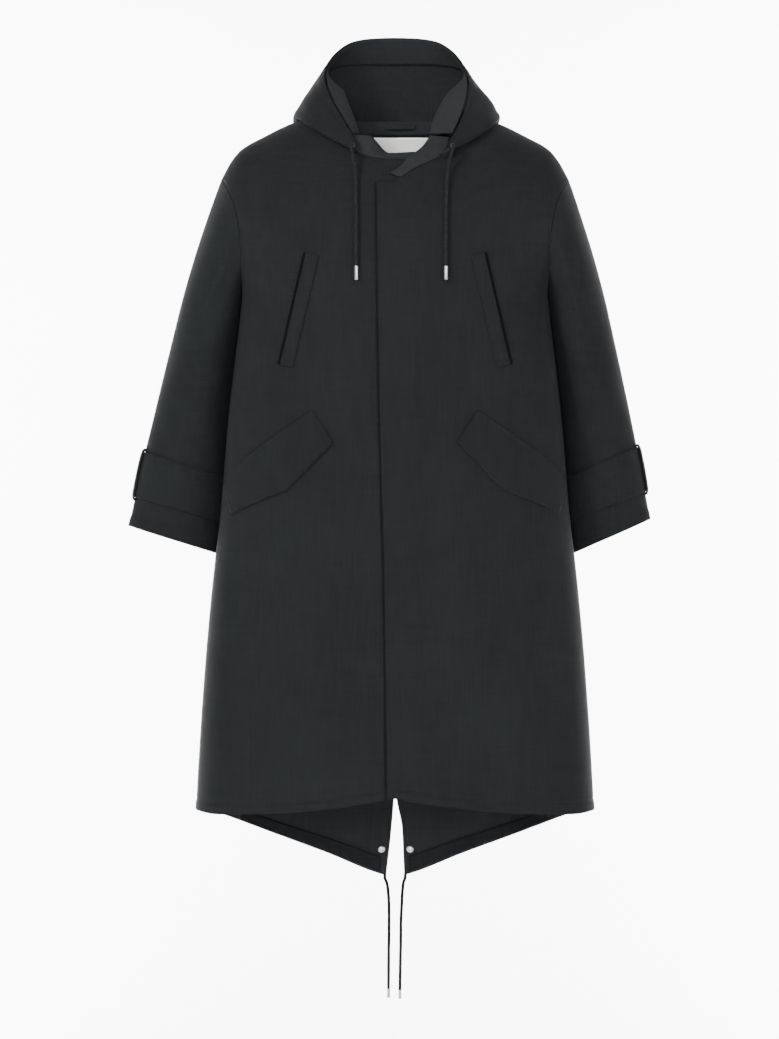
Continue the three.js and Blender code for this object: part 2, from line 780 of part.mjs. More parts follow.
// Direction away from the hood's outer face
function hoodOutward(station, profile) {
  const h = 0.05;
  const at = (s, t) => hoodPoint(s, t, HOOD_CLEARANCE);
  const round = at(station + h, profile).sub(at(station - h, profile));
  const up = at(station, profile + h).sub(at(station, profile - h));
  return up.cross(round).normalize();
}

const HOOD_END = HOOD.length - 1;
const RIM = HOOD_COLUMNS.length - 1;
const HOOD_PROFILE = [0, 0.5, 1, 1.5, 1.8, 2.1, 2.5, 3, 3.5, 4, 4.45, 5];

function hoodGrid(stations, profile) {
  return stations.map((station) => profile.map((at) => hoodPoint(station, at, HOOD_CLEARANCE)));
}

const fullHood = steps(-HOOD_END, HOOD_END, 42);
const fullGrid = hoodGrid(fullHood, HOOD_PROFILE);
const fullNormals = gridNormals(fullGrid, false);

function hoodPiece(from, to) {
  const rows = [];
  fullHood.forEach((station, i) => {
    if (station >= from - 1e-6 && station <= to + 1e-6) rows.push(i);
  });
  const layer = (distance) => {
    const grid = rows.map((i) =>
      fullGrid[i].map((p, c) => p.clone().addScaledVector(fullNormals[i][c], distance)),
    );
    const pull = (edge, next) =>
      edge.forEach((p, c) => p.lerp(next[c], SEAM_GAP / 2 / p.distanceTo(next[c])));
    if (from > -HOOD_END) pull(grid[0], grid[1]);
    if (to < HOOD_END) pull(grid[grid.length - 1], grid[grid.length - 2]);
    return grid;
  };
  return wallGeometry(layer(CLOTH / 2), layer(-CLOTH / 2));
}

add("hood_right", hoodPiece(-HOOD_END, -HOOD_SIDE_SEAM), "cloth");
add("hood_center", hoodPiece(-HOOD_SIDE_SEAM, HOOD_SIDE_SEAM), "cloth");
add("hood_left", hoodPiece(HOOD_SIDE_SEAM, HOOD_END), "cloth");

// Facing band: on the hood's inner face at the back, turned inward at the sides
const FACING_STATIONS = fullHood.slice(3, -3);
const FACING_PARTS = 3;
function facingPoint(station, share) {
  const onWall = hoodPoint(station, mix(RIM, 4.45, share), HOOD_CLEARANCE);
  const side = station < 0 ? -1 : 1;
  const distance = Math.abs(station);
  const read = (column) => along(FACING_EDGE, "station", column, distance);
  const shift = NECK_SHIFT * ease((distance - 2.5) / 4);
  const edge = vector(side * read(side < 0 ? "right" : "left") + shift, read("y"), read("z"));
  const turned = hoodPoint(station, RIM, HOOD_CLEARANCE).lerp(edge, share);
  return onWall.lerp(turned, ease((distance - 2.7) / 1.2));
}
{
  const grid = FACING_STATIONS.map((station) =>
    steps(0.04, 1, FACING_PARTS).map((share) => facingPoint(station, share)),
  );
  const normals = gridNormals(grid, false);
  const middle = normals[Math.floor(normals.length / 2)][1];
  const inward = middle.y < 0 ? 1 : -1;
  const layer = (distance) => offsetGrid(grid, normals, inward * distance);
  add("hood_facing", wallGeometry(layer(CLOTH / 2 + 0.9), layer(CLOTH / 2 + 0.9 + TRIM)), "cloth");
}

// Neck band: stands up from the back neck edge, inside the hood
function backNeckPlace(x) {
  return { x, z: along(BACK_NECK, "x", "z", Math.abs(x)) };
}

const NECK_BAND = { halfWidth: 70, height: 22, foot: -2, inside: 3.9 };
function neckBandPoint(x, rise, offset) {
  const { z } = backNeckPlace(x);
  const foot = bodyPoint(x, z, "back", 0);
  const inward = bodyNormal(foot).setZ(0).normalize().negate();
  const lean = 0.12 * rise;
  const p = vector(foot.x, foot.y, NECK_BAND.foot + rise);
  return p.addScaledVector(inward, NECK_BAND.inside + offset - lean);
}
{
  const places = steps(-NECK_BAND.halfWidth, NECK_BAND.halfWidth, 18);
  const layer = (offset) =>
    steps(0, NECK_BAND.height, 2).map((rise) => places.map((x) => neckBandPoint(x, rise, offset)));
  add("neck_band", wallGeometry(layer(-TRIM / 2), layer(TRIM / 2)), "cloth");
}

// Hanger loop: a narrow tape across the neck band, slack in its middle
const LOOP = { from: -17, to: 33, low: 9, high: 16.5, slack: 3 };
{
  const layer = (offset) =>
    steps(LOOP.low, LOOP.high, 1).map((rise) =>
      steps(0, 1, 8).map((share) => {
        const slack = LOOP.slack * Math.sin(Math.PI * share);
        return neckBandPoint(mix(LOOP.from, LOOP.to, share), rise, TRIM / 2 + 0.4 + slack + offset);
      }),
    );
  add("hanger_loop", wallGeometry(layer(0), layer(1.4)), "cloth");
}

// Place on a panel's own facets, seen along Y
function onFacets(grid, x, z) {
  for (let r = 0; r < grid.length - 1; r += 1) {
    for (let c = 0; c < grid[0].length - 1; c += 1) {
      const corners = [grid[r][c], grid[r][c + 1], grid[r + 1][c + 1], grid[r + 1][c]];
      for (const [i, j, k] of [[0, 1, 2], [0, 2, 3]]) {
        const [a, b, d] = [corners[i], corners[j], corners[k]];
        const size = (b.x - a.x) * (d.z - a.z) - (d.x - a.x) * (b.z - a.z);
        const u = ((x - a.x) * (d.z - a.z) - (d.x - a.x) * (z - a.z)) / size;
        const v = ((b.x - a.x) * (z - a.z) - (x - a.x) * (b.z - a.z)) / size;
        if (u >= -1e-6 && v >= -1e-6 && u + v <= 1 + 1e-6) return a.y + u * (b.y - a.y) + v * (d.y - a.y);
      }
    }
  }
  return NaN;
}

// A point on the inside of the back, moved in by an offset
function insideBack(x, z, offset) {
  const side = x < 0 ? "right" : "left";
  const grid = panelGrids[`back_${side}`].inner;
  const places = [x, Math.sign(x || 1) * Math.max(Math.abs(x), 1.4)];
  const y = Math.min(...places.map((place) => onFacets(grid, place, z)).filter(Number.isFinite));
  const inward = bodyNormal(vector(x, y, z)).negate();
  return vector(x, y, z).addScaledVector(inward, offset);
}

// Neck label: a plain white patch inside the back, just under the neck seam
const LABEL = { middle: 4, halfWidth: 57, top: -4, bottom: -60, thickness: 0.9 };
{
  const layer = (offset) =>
    steps(LABEL.top, LABEL.bottom, 5).map((z) =>
      steps(LABEL.middle - LABEL.halfWidth, LABEL.middle + LABEL.halfWidth, 10).map((x) =>
        insideBack(x, z, offset),
      ),
    );
  add("neck_label", wallGeometry(layer(0.8), layer(0.8 + LABEL.thickness)), "label");
}

// Collar ends: the wearer's left one crosses over the right one
const COLLAR_LEFT = [
  { innerX: 55.4, innerY: -72, innerZ: -13, outerX: 86, outerY: -76, outerZ: -16 },
  { innerX: 48.4, innerY: -84, innerZ: -24.5, outerX: 83, outerY: -87.5, outerZ: -31 },
  { innerX: 40.4, innerY: -93, innerZ: -34, outerX: 71.5, outerY: -97, outerZ: -46 },
  { innerX: 28.5, innerY: -99.8, innerZ: -43.3, outerX: 51.2, outerY: -105.4, outerZ: -57.5 },
  { innerX: 19.6, innerY: -103.6, innerZ: -49.4, outerX: 37.4, outerY: -109.6, outerZ: -63.7 },
  { innerX: 10, innerY: -109.8, innerZ: -62, outerX: 21.6, outerY: -114, outerZ: -73 },
  { innerX: -9, innerY: -115.6, innerZ: -75, outerX: 9.7, outerY: -117.9, outerZ: -82 },
];
function collarRow(row) {
  const inner = vector(row.innerX, row.innerY, row.innerZ);
  const outer = vector(row.outerX, row.outerY, row.outerZ);
  return steps(0, 1, 3).map((t) => inner.clone().lerp(outer, t));
}
function smoothRows(table, make, parts) {
  const rows = table.map((row, i) => ({ ...row, place: i }));
  return steps(0, rows.length - 1, parts).map((place) => {
    const row = {};
    for (const column of Object.keys(table[0])) row[column] = along(rows, "place", column, place);
    return make(row);
  });
}
add("collar_left", sheetGeometry(smoothRows(COLLAR_LEFT, collarRow, 12), TRIM), "cloth");

// The right collar end stands on the right front's neck edge
const COLLAR_RIGHT = [
  { x: -66, top: -12, lean: 12 },
  { x: -41, top: -14, lean: 8 },
  { x: -9, top: -41, lean: 26 },
  { x: 22, top: -39, lean: 26 },
];
function collarStand(row) {
  const z = along(RIGHT_FRONT_NECK, "x", "z", -row.x) + 1;
  const foot = vector(row.x, -bodyDepth(row.x, z, "front") + CLOTH / 2, z);
  const top = vector(row.x, foot.y + row.lean, row.top);
  return steps(0, 1, 2).map((t) => foot.clone().lerp(top, t));
}
add("collar_right", sheetGeometry(smoothRows(COLLAR_RIGHT, collarStand, 8), TRIM), "cloth");

// Hood cords with their eyelets and tips. The routes are chosen by hand.
const EYELET = { hole: 2.2, radius: 4.6, height: 1.6, sides: 16, station: 6.8, profile: 3.2 };
const HOOD_CORDS = {
  right: [
    [-69.4, -113.4, -31], [-68.2, -114.8, -37.5],
    [-65.8, -115.2, -47], [-64, -116, -57], [-62.6, -117.4, -68], [-61.7, -119.6, -82],
    [-61.3, -124.6, -100], [-61.1, -130.8, -125], [-61, -133.9, -150], [-61, -134.3, -175],
    [-61, -134.4, -200], [-61, -134.5, -222],
  ],
  left: [
    [93.2, -113.4, -31], [91.4, -114.6, -37.5],
    [88.2, -114.9, -47], [85.8, -115.6, -57], [83.8, -117, -68], [82.4, -119.4, -82],
    [81.4, -124.4, -100], [80.8, -130.2, -125], [80.4, -133.2, -150], [80.2, -133.6, -175],
    [80.1, -133.7, -200], [80, -133.8, -222],
  ],
};
const TIP = { radius: 3.3, length: 22 };
const TAIL_TIP = { radius: 2.9, length: 15 };
const CORD_GAP = 0.3;

function cordShape(diameter) {
  const shape = new THREE.Shape();
  for (let i = 0; i < 8; i += 1) {
    const angle = ((i + 0.5) / 8) * 2 * Math.PI;
    const x = (diameter / 2) * Math.cos(angle);
    const y = (diameter / 2) * Math.sin(angle);
    if (i === 0) shape.moveTo(x, y);
    else shape.lineTo(x, y);
  }
  shape.closePath();
  return shape;
}

function cordGeometry(route, diameter) {
  const path = new THREE.CatmullRomCurve3(route.map((p) => vector(...p)));
  const count = Math.max(8, Math.round(path.getLength() / (2.5 * diameter)));
  const options = { steps: count, extrudePath: path, bevelEnabled: false };
  return new THREE.ExtrudeGeometry(cordShape(diameter), options);
}

function lathe(profile, sides) {
  return new THREE.LatheGeometry(profile.map(([r, y]) => new THREE.Vector2(r, y)), sides);
}

function tipGeometry(tip) {
  const { radius, length } = tip;
  const edge = 0.6;
  const bottom = [[0, 0], [radius - edge, 0], [radius, edge]];
  const top = [[radius, length - edge], [radius - edge, length], [0, length]];
  const profile = [...bottom, ...top];
  return lathe(profile, 12);
}

for (const side of SIDES) {
  const { hole, radius, height, sides, station, profile } = EYELET;
  const seat = hoodPoint(side.sign * station, profile, HOOD_CLEARANCE);
  const outward = hoodOutward(side.sign * station, profile);
  const flange = [[hole, 0], [radius, 0], [radius, height * 0.6]];
  const ring = [...flange, [radius - 0.8, height], [hole, height], [hole, 0]];
  const eyeletMesh = add(`hood_eyelet_${side.name}`, lathe(ring, sides), "metal");
  const seatLift = CLOTH / 2 + 0.5;
  eyeletMesh.position.copy(seat).addScaledVector(outward, seatLift);
  eyeletMesh.quaternion.setFromUnitVectors(vector(0, 1, 0), outward);
  const leaving = [height + CORD_GAP, height + CORD_GAP + 2.6].map((distance) =>
    seat.clone().addScaledVector(outward, seatLift + distance).toArray(),
  );
  const route = [...leaving, ...HOOD_CORDS[side.name]];
  add(`hood_cord_${side.name}`, cordGeometry(route, CORD_DIAMETER), "cord");
  const end = route[route.length - 1];
  const tip = add(`hood_cord_tip_${side.name}`, tipGeometry(TIP), "metal");
  tip.position.set(end[0], end[1], end[2] - CORD_GAP);
  tip.rotation.x = -Math.PI / 2;
}

// Tail facings: bands along the hem on the inside of the tail
const TAIL_FACING = { from: 22, to: 250, lowGap: 1.2, narrow: 17, wide: 25 };
for (const side of SIDES) {
  const layer = (offset) =>
    steps(0, 1, 2).map((up) =>
      steps(TAIL_FACING.from, TAIL_FACING.to, 14).map((x) => {
        const share = (x - TAIL_FACING.from) / (TAIL_FACING.to - TAIL_FACING.from);
        const height = TAIL_FACING.lowGap + up * mix(TAIL_FACING.wide, TAIL_FACING.narrow, share);
        const z = along(BACK_HEM, "x", "z", x) + height;
        return insideBack(side.sign * x, z, offset);
      }),
    );
  add(`tail_facing_${side.name}`, wallGeometry(layer(0.6), layer(0.6 + 1.4)), "cloth");
}

// Snaps on the inside of the tail's two corners
const SNAP = { left: { x: 25, z: -1159 }, right: { x: -22, z: -1159 }, radius: 5.8, height: 2.6 };
for (const side of SIDES) {
  const { x, z } = SNAP[side.name];
  const { radius, height } = SNAP;
  const flange = [[0, 0], [radius, 0], [radius, height * 0.45]];
  const dome = [[radius * 0.8, height * 0.85], [radius * 0.3, height], [0, height]];
  const cap = [...flange, ...dome];
  const snap = add(`tail_snap_${side.name}`, lathe(cap, 20), "metal");
  const seats = [-radius, 0, radius].map((d) => insideBack(x + d, z, 0.4).y);
  snap.position.set(x, Math.min(...seats), z);
  snap.rotation.x = Math.PI;
}

// Tail cords hang out of the hem's corners
const TAIL_CORDS = {
  right: [
    [-16.5, 150.5, -1201.8], [-16.2, 150.5, -1206.5], [-13.5, 150.4, -1213], [-11.5, 150.2, -1223],
    [-10.2, 150, -1240], [-9.6, 149.8, -1262], [-9.6, 149.6, -1290], [-10, 149.5, -1320],
    [-10.3, 149.4, -1350], [-10.4, 149.4, -1386],
  ],
  left: [
    [17, 150.5, -1201.6], [16.5, 150.5, -1206.5], [13.8, 150.4, -1214], [12.4, 150.2, -1226],
    [11.4, 150, -1246], [10.2, 149.8, -1268], [9.6, 149.6, -1292], [9.4, 149.5, -1318],
    [8.8, 149.4, -1350], [8.2, 149.4, -1388],
  ],
};
for (const side of SIDES) {
  const route = TAIL_CORDS[side.name];
  add(`tail_cord_${side.name}`, cordGeometry(route, TAIL_CORD_DIAMETER), "cord");
  const end = route[route.length - 1];
  const tip = add(`tail_cord_tip_${side.name}`, tipGeometry(TAIL_TIP), "metal");
  tip.position.set(end[0], end[1], end[2] - CORD_GAP);
  tip.rotation.x = -Math.PI / 2;
}

export default group;
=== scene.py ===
"""A hooded parka with a fishtail back, shown filled out.

Sizes are in millimetres until a mesh is made. +X is the wearer's left, +Y the back, +Z up.
"""

import math

import bpy
import numpy as np
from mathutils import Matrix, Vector


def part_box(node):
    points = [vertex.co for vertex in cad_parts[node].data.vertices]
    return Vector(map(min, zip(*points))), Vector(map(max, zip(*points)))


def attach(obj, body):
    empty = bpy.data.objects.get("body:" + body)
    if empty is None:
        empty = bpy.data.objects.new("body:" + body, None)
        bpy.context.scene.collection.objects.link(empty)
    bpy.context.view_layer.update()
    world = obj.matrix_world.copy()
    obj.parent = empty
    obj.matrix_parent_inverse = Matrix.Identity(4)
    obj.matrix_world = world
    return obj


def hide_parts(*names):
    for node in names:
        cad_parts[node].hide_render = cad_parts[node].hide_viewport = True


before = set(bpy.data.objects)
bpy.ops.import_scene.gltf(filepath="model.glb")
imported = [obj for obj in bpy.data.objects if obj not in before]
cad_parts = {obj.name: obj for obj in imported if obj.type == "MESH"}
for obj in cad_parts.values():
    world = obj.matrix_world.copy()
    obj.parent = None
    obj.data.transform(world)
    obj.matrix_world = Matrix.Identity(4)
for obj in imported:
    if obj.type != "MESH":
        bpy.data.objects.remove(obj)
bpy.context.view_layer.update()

MM = 0.001
FRONT, BACK = -1, 1
LEFT, RIGHT = 1, -1
SIDE_NAMES = {LEFT: "left", RIGHT: "right"}

# Camera, at the photograph's angle
CAMERA_PLACE = (-0.0088, -8.0, -0.6216)
CAMERA_LENS = 173.2
camera = bpy.data.objects.new("camera", bpy.data.cameras.new("camera"))
bpy.context.scene.collection.objects.link(camera)
bpy.context.scene.camera = camera
camera.location = CAMERA_PLACE
camera.rotation_euler = (math.pi / 2, 0, 0)
camera.data.lens = CAMERA_LENS

# Sizes shared with the solid
CLOTH = 2
TRIM = 1.8
SEAM_GAP = 0.12
ARMHOLE_GAP = 0.8
DOME_BASE = -150
UNDERARM = -262
SIDE_POWER = 2.6
NECK_HALF_WIDTH = 100
FLY_LIFT = 2.9
FLY_FURROW = {"depth": 3.2, "width": 3.4, "top": -84}
UNDERLAP = 26
NECK_SHIFT = 12

BODY = {
    "z": [-1090, -1006, -878, -750, -680, -617, -462, -345, -290, -262, -206, -150],
    "half_width": [319, 314.5, 306, 295, 287.5, 280, 267, 254, 248, 246, 266, 290],
    FRONT: [152, 150, 146, 141, 138, 136, 133, 132, 131, 131, 130.5, 130],
    BACK: [152, 151, 148, 143, 141, 139, 135, 132, 130, 129, 128, 127],
}
SHOULDER = {"x": [0, 60, 100, 160, 211, 246, 262, 278], "z": [60, 45, 30, 14, -10, -30, -49, -78]}
ARMHOLE = {"z": [-262, -220, -179, -133, -107, -78], "x": [246, 244.5, 245.5, 253, 262, 278]}
BACK_NECK = {"x": [0, 30, 55, 78, 92, 100], "z": [0, 0.5, 3, 11, 22, 30]}
NECK = {
    (LEFT, FRONT): {
        "x": [-30, -4, 10, 28, 52, 73, 85, 95, 100],
        "z": [-90, -90, -78, -63, -52, -40, -22, 8, 30],
    },
    (RIGHT, FRONT): {"x": [-26, 9, 40, 68, 85, 95, 100], "z": [-51, -51, -47, -36, -14, 10, 30]},
    (LEFT, BACK): BACK_NECK,
    (RIGHT, BACK): BACK_NECK,
}
HEM = {
    FRONT: {"x": [0, 30, 105, 180, 285, 318], "z": [-1060, -1066, -1077, -1084, -1088, -1084]},
    BACK: {"x": [0, 14, 105, 195, 286, 318], "z": [-1202, -1199, -1165, -1132, -1096, -1084]},
}
FLY_EDGE = {"z": [-1090, -749, -440, -82], "x": [-12, -16, -24, -29]}
VENT = {
    RIGHT: {"z": [-1200, -1130, -1066, -900], "x": [14, 6, 1.4, 0.7]},
    LEFT: {"z": [-1200, -1176, -1124, -1066, -900], "x": [15, 14, 11.5, 1.6, 0.7]},
}
SLEEVE = {
    "outer_x": [278, 289, 301.5, 322.5, 340.5, 356, 371, 385.5, 396, 410.5, 420],
    "outer_z": [-78, -107, -142, -206, -270, -334, -398, -462, -509, -581, -626],
    "inner_x": [246, 245.6, 246.2, 249.6, 253.6, 258, 263.1, 267.4, 271, 277.5, 283.5],
    "inner_z": [-262, -269, -283, -318, -356, -400, -450, -505, -555, -627, -677],
    "depth": [86, 88, 90, 90, 88, 82, 74, 64, 57, 49, 45],
    "middle_y": [0, 10, 20, 32, 42, 48, 50, 50, 50, 50, 50],
    "armhole": [1, 0.72, 0.35, 0.05, 0, 0, 0, 0, 0, 0, 0],
}
SLEEVE_END = 10
SLEEVE_SWING = 9
STRAP_FROM = 8

FACING_EDGE = {
    LEFT: [0, 66, 98, 101.4, 82, 61, 47, 42],
    RIGHT: [0, 66, 98, 91.6, 86, 80, 73.5, 69],
    "y": [148, 134, 106, 64, 28, -10, -47, -78],
    "z": [118, 117, 107, 88, 60, 30, 0, -24],
}
FACING_END = 6.45
# Half of the hood from the middle of the back to the front end, neck seam to rim
HOOD = np.array([
    [[0, 68, 2], [0, 108, -48], [0, 146, -112], [0, 177, -25], [0, 166, 76], [0, 126, 161]],
    [[36, 64, 4], [50, 102, -42], [68, 138, -98], [82, 164, -16], [76, 152, 78], [59, 118, 156]],
    [[68, 56, 9], [92, 86, -18], [116, 116, -56], [132, 134, 0], [124, 122, 78], [90, 98, 138]],
    [[92, 24, 25], [118, 52, 6], [146, 76, -14], [161, 82, 16], [148, 74, 56], [110, 62, 109]],
    [[100, -12, 29], [122, 2, 22], [150, 16, 12], [164, 12, 24], [146, 8, 52], [115, 14, 77]],
    [[94, -52, 8], [114, -40, 12], [140, -46, 2], [147, -48, 12], [130, -42, 30], [106, -34, 40]],
    [[80, -86, -24], [92, -84, -18], [110, -84, -20], [112, -84, -12], [102, -80, -2], [90, -74, 5]],
    [[60, -103, -48], [64, -105, -44], [72, -107, -40], [74, -107, -36], [74, -105, -32], [72, -101, -29]],
], float)
HOOD_END = 7
HOOD_SIDE_SEAM = 2
RIM = 5
HOOD_CLEARANCE = 2.1
RIDGE_CLEARANCE = 1.7
FLAP = {"girth": 131, "height": -449, "slope": 0.65, "length": 208, "end": 61, "point": 84, "point_at": 102}
WELT = {"top_x": 132, "top_z": -203, "bottom_x": 173, "bottom_z": -379, "width": 24, "slant": 0.25}

# Creases: from one place to another, wider towards the second, with a bow to one side.
# Columns: x, z, second x, second z, width, height (a trough is below 0), bow
CREASES = {
    FRONT: [
        [-222, -70, -206, -330, 15, -1.6, 8], [-240, -250, -168, -352, 12, -1.5, -8],
        [-236, -300, -196, -420, 11, 1.3, -6], [-120, -110, -104, -250, 20, -0.9, 5],
        [-196, -520, -214, -1110, 30, 3.2, 6], [-158, -560, -166, -1110, 24, -2.6, -5],
        [-104, -600, -98, -1110, 26, 2.0, 4], [-62, -700, -58, -1100, 20, -1.4, 3],
        [-246, -600, -262, -1100, 18, -2.2, 4], [222, -70, 208, -320, 14, -1.4, -7],
        [240, -256, 176, -340, 11, -1.6, 7], [232, -310, 190, -430, 12, 1.2, 6],
        [112, -120, 98, -230, 18, -0.8, -5], [188, -500, 204, -1110, 28, 2.8, -6],
        [150, -590, 152, -1110, 22, -2.2, 5], [88, -560, 96, -1110, 30, 1.8, -4],
        [250, -640, 268, -1100, 20, -2.0, -5], [46, -640, 52, -1090, 18, -1.2, 4],
    ],
    BACK: [
        [-225, -80, -190, -360, 18, -2.4, 10], [-160, -60, -120, -330, 24, -1.8, 6],
        [-60, -90, -44, -420, 22, 1.6, 4], [-236, -270, -150, -350, 14, -2.2, -8],
        [-190, -480, -218, -1150, 32, 4.0, 8], [-142, -520, -150, -1180, 26, -3.4, -6],
        [-84, -600, -80, -1190, 28, 2.8, 5], [-250, -560, -270, -1110, 18, -2.6, 5],
        [222, -86, 196, -330, 18, -2.2, -9], [148, -70, 116, -300, 26, -1.6, -6],
        [70, -120, 50, -400, 22, 1.5, -4], [238, -266, 160, -372, 15, -2.4, 9],
        [196, -500, 224, -1140, 30, 3.6, -8], [150, -540, 160, -1180, 24, -3.0, 6],
        [92, -620, 90, -1190, 30, 2.6, -5], [254, -600, 272, -1110, 18, -2.4, -5],
    ],
}
SLEEVE_CREASES = {
    (LEFT, FRONT): [
        [262, -230, 300, -330, 12, -2.4, 6], [258, -300, 306, -372, 12, 1.8, 5],
        [268, -372, 330, -420, 12, -2.0, 6], [330, -220, 352, -400, 20, 2.0, -8],
        [300, -420, 366, -392, 14, 1.6, -5], [292, -500, 372, -452, 13, -1.4, -6],
    ],
    (RIGHT, FRONT): [
        [-262, -224, -304, -310, 13, -2.2, -6], [-258, -290, -312, -350, 12, 1.6, -5],
        [-266, -352, -334, -404, 13, -1.9, -6], [-326, -210, -350, -380, 22, 1.8, 8],
        [-296, -440, -360, -408, 14, 1.5, 5], [-288, -512, -368, -470, 13, -1.3, 6],
    ],
    (LEFT, BACK): [
        [256, -240, 310, -330, 14, -3.0, 6], [262, -330, 336, -380, 13, -2.8, 6],
        [276, -404, 350, -420, 12, 2.4, 5], [286, -456, 368, -450, 12, -2.4, 4],
        [318, -190, 350, -380, 22, 2.2, -8],
    ],
    (RIGHT, BACK): [
        [-256, -236, -306, -336, 14, -2.8, -6], [-262, -320, -338, -372, 13, -2.6, -6],
        [-276, -396, -352, -410, 12, 2.3, -5], [-286, -462, -366, -446, 12, -2.2, -4],
        [-316, -200, -348, -390, 22, 2.0, 8],
    ],
}
# On the hood the two directions are station and profile
HOOD_CREASES = [
    [-5.4, 2.2, -2.6, 2.0, 0.26, 1.6, 0.2], [-5.0, 3.3, -3.2, 3.9, 0.22, -1.6, 0.1],
    [-2.6, 1.2, -0.4, 1.6, 0.24, -2.0, 0.1], [-1.8, 3.4, -0.2, 3.1, 0.25, 1.6, 0.1],
    [5.2, 2.3, 2.8, 2.1, 0.26, 1.5, -0.2], [4.9, 3.2, 3.0, 3.8, 0.22, -1.8, -0.1],
    [2.4, 1.4, 0.5, 1.2, 0.24, -1.8, -0.1], [1.9, 3.1, 0.3, 3.5, 0.25, 1.5, -0.1],
]


def mix(a, b, t):
    return a + (b - a) * t


def ease(t):
    u = np.clip(t, 0, 1)
    return u * u * (3 - 2 * u)


def unit(v):
    return v / np.maximum(np.linalg.norm(v, axis=-1, keepdims=True), 1e-9)


def steps(start, stop, count):
    return np.linspace(start, stop, count + 1)


def crossed(down, across):
    """Both values at every place of a grid."""
    return np.meshgrid(down, across, indexing="ij")


def along(keys, values, at):
    """Smooth curve through a table, the same as the solid's."""
    keys, values = np.asarray(keys, float), np.asarray(values, float)
    at = np.clip(at, keys[0], keys[-1])
    i = np.clip(np.searchsorted(keys, at) - 1, 0, len(keys) - 2)
    width = np.diff(keys)
    slope = np.diff(values) / width
    tangent = np.zeros(len(keys))
    tangent[0], tangent[-1] = slope[0], slope[-1]
    same = slope[:-1] * slope[1:] > 0
    total = np.where(same, slope[:-1] + slope[1:], 1)
    tangent[1:-1] = np.where(same, 2 * slope[:-1] * slope[1:] / total, 0)
    t = (at - keys[i]) / width[i]
    start = values[i] * (2 * t**3 - 3 * t**2 + 1) + tangent[i] * width[i] * (t**3 - 2 * t**2 + t)
    stop = values[i + 1] * (3 * t**2 - 2 * t**3) + tangent[i + 1] * width[i] * (t**3 - t**2)
    return start + stop


def z_on(line, x):
    return along(line["x"], line["z"], x)


def x_on(line, z):
    return along(line["z"], line["x"], z)


def relief(creases, u, v):
    """Height of soft troughs and ridges at each place."""
    total = np.zeros(np.broadcast(u, v).shape)
    for u0, v0, u1, v1, width, height, bow in creases:
        du, dv = u1 - u0, v1 - v0
        size = math.hypot(du, dv)
        t = ((u - u0) * du + (v - v0) * dv) / size**2
        inside = np.clip(t, 0, 1)
        side = ((u - u0) * dv - (v - v0) * du) / size - bow * np.sin(np.pi * inside)
        beyond = (t - inside) * size
        spread = width * (0.75 + 0.5 * inside)
        ends = np.sin(np.pi * np.clip(0.04 + 0.92 * inside, 0, 1)) ** 0.8
        total += height * ends * np.exp(-(side**2 + beyond**2) / spread**2)
    return total


# The body's surface
def body_size(key, z):
    return along(BODY["z"], BODY[key], z)


def half_width(z):
    return body_size("half_width", z)


def shoulder_at(x):
    return z_on(SHOULDER, np.abs(x))


def dome_power(x):
    return mix(1.5, 2, ease(np.abs(x) / 250))


def section_depth(x, z, face):
    share = np.clip(np.abs(x) / half_width(z), 0, 1)
    return body_size(face, z) * (1 - share**SIDE_POWER) ** (1 / SIDE_POWER)


def body_depth(x, z, face):
    power = dome_power(x)
    rise = np.clip((z - DOME_BASE) / (shoulder_at(x) - DOME_BASE), 0, 1)
    dome = section_depth(x, DOME_BASE, face) * (1 - rise**power) ** (1 / power)
    return np.where(z <= DOME_BASE, section_depth(x, z, face), dome)


def body_value(p):
    x, y, z = np.abs(p[..., 0]), p[..., 1], p[..., 2]
    depth = np.where(y < 0, body_size(FRONT, z), body_size(BACK, z))
    low = (x / half_width(z)) ** SIDE_POWER + (np.abs(y) / depth) ** SIDE_POWER
    power = dome_power(x)
    rise = np.maximum((z - DOME_BASE) / (shoulder_at(x) - DOME_BASE), 0)
    base = np.where(y < 0, section_depth(x, DOME_BASE, FRONT), section_depth(x, DOME_BASE, BACK))
    high = (np.abs(y) / np.maximum(base, 1e-3)) ** power + rise**power
    return np.where(z <= DOME_BASE, low, high)


def body_gradient(p):
    h = 0.2
    columns = [body_value(p + h * axis) - body_value(p - h * axis) for axis in np.eye(3)]
    return np.stack(columns, -1) / (2 * h)


def body_normal(p):
    return unit(body_gradient(p))


def lift_off_body(p, clearance):
    for _ in range(4):
        gradient = body_gradient(p)
        size = np.linalg.norm(gradient, axis=-1)
        distance = (body_value(p) - 1) / size
        move = np.maximum(clearance - distance, 0) / size
        p = p + gradient * move[..., None]
    return p


def fly_lift(x):
    return FLY_LIFT * (1 - ease((x - 30) / 45))


# Creases fade towards the side seam, from a share of the half width on, and towards the shoulder,
# above a slanted line
SIDE_FADE = {"from": 0.86, "over": 0.12}
SHOULDER_FADE = {"z": -52, "slope": 0.3, "x": 150, "over": 90}


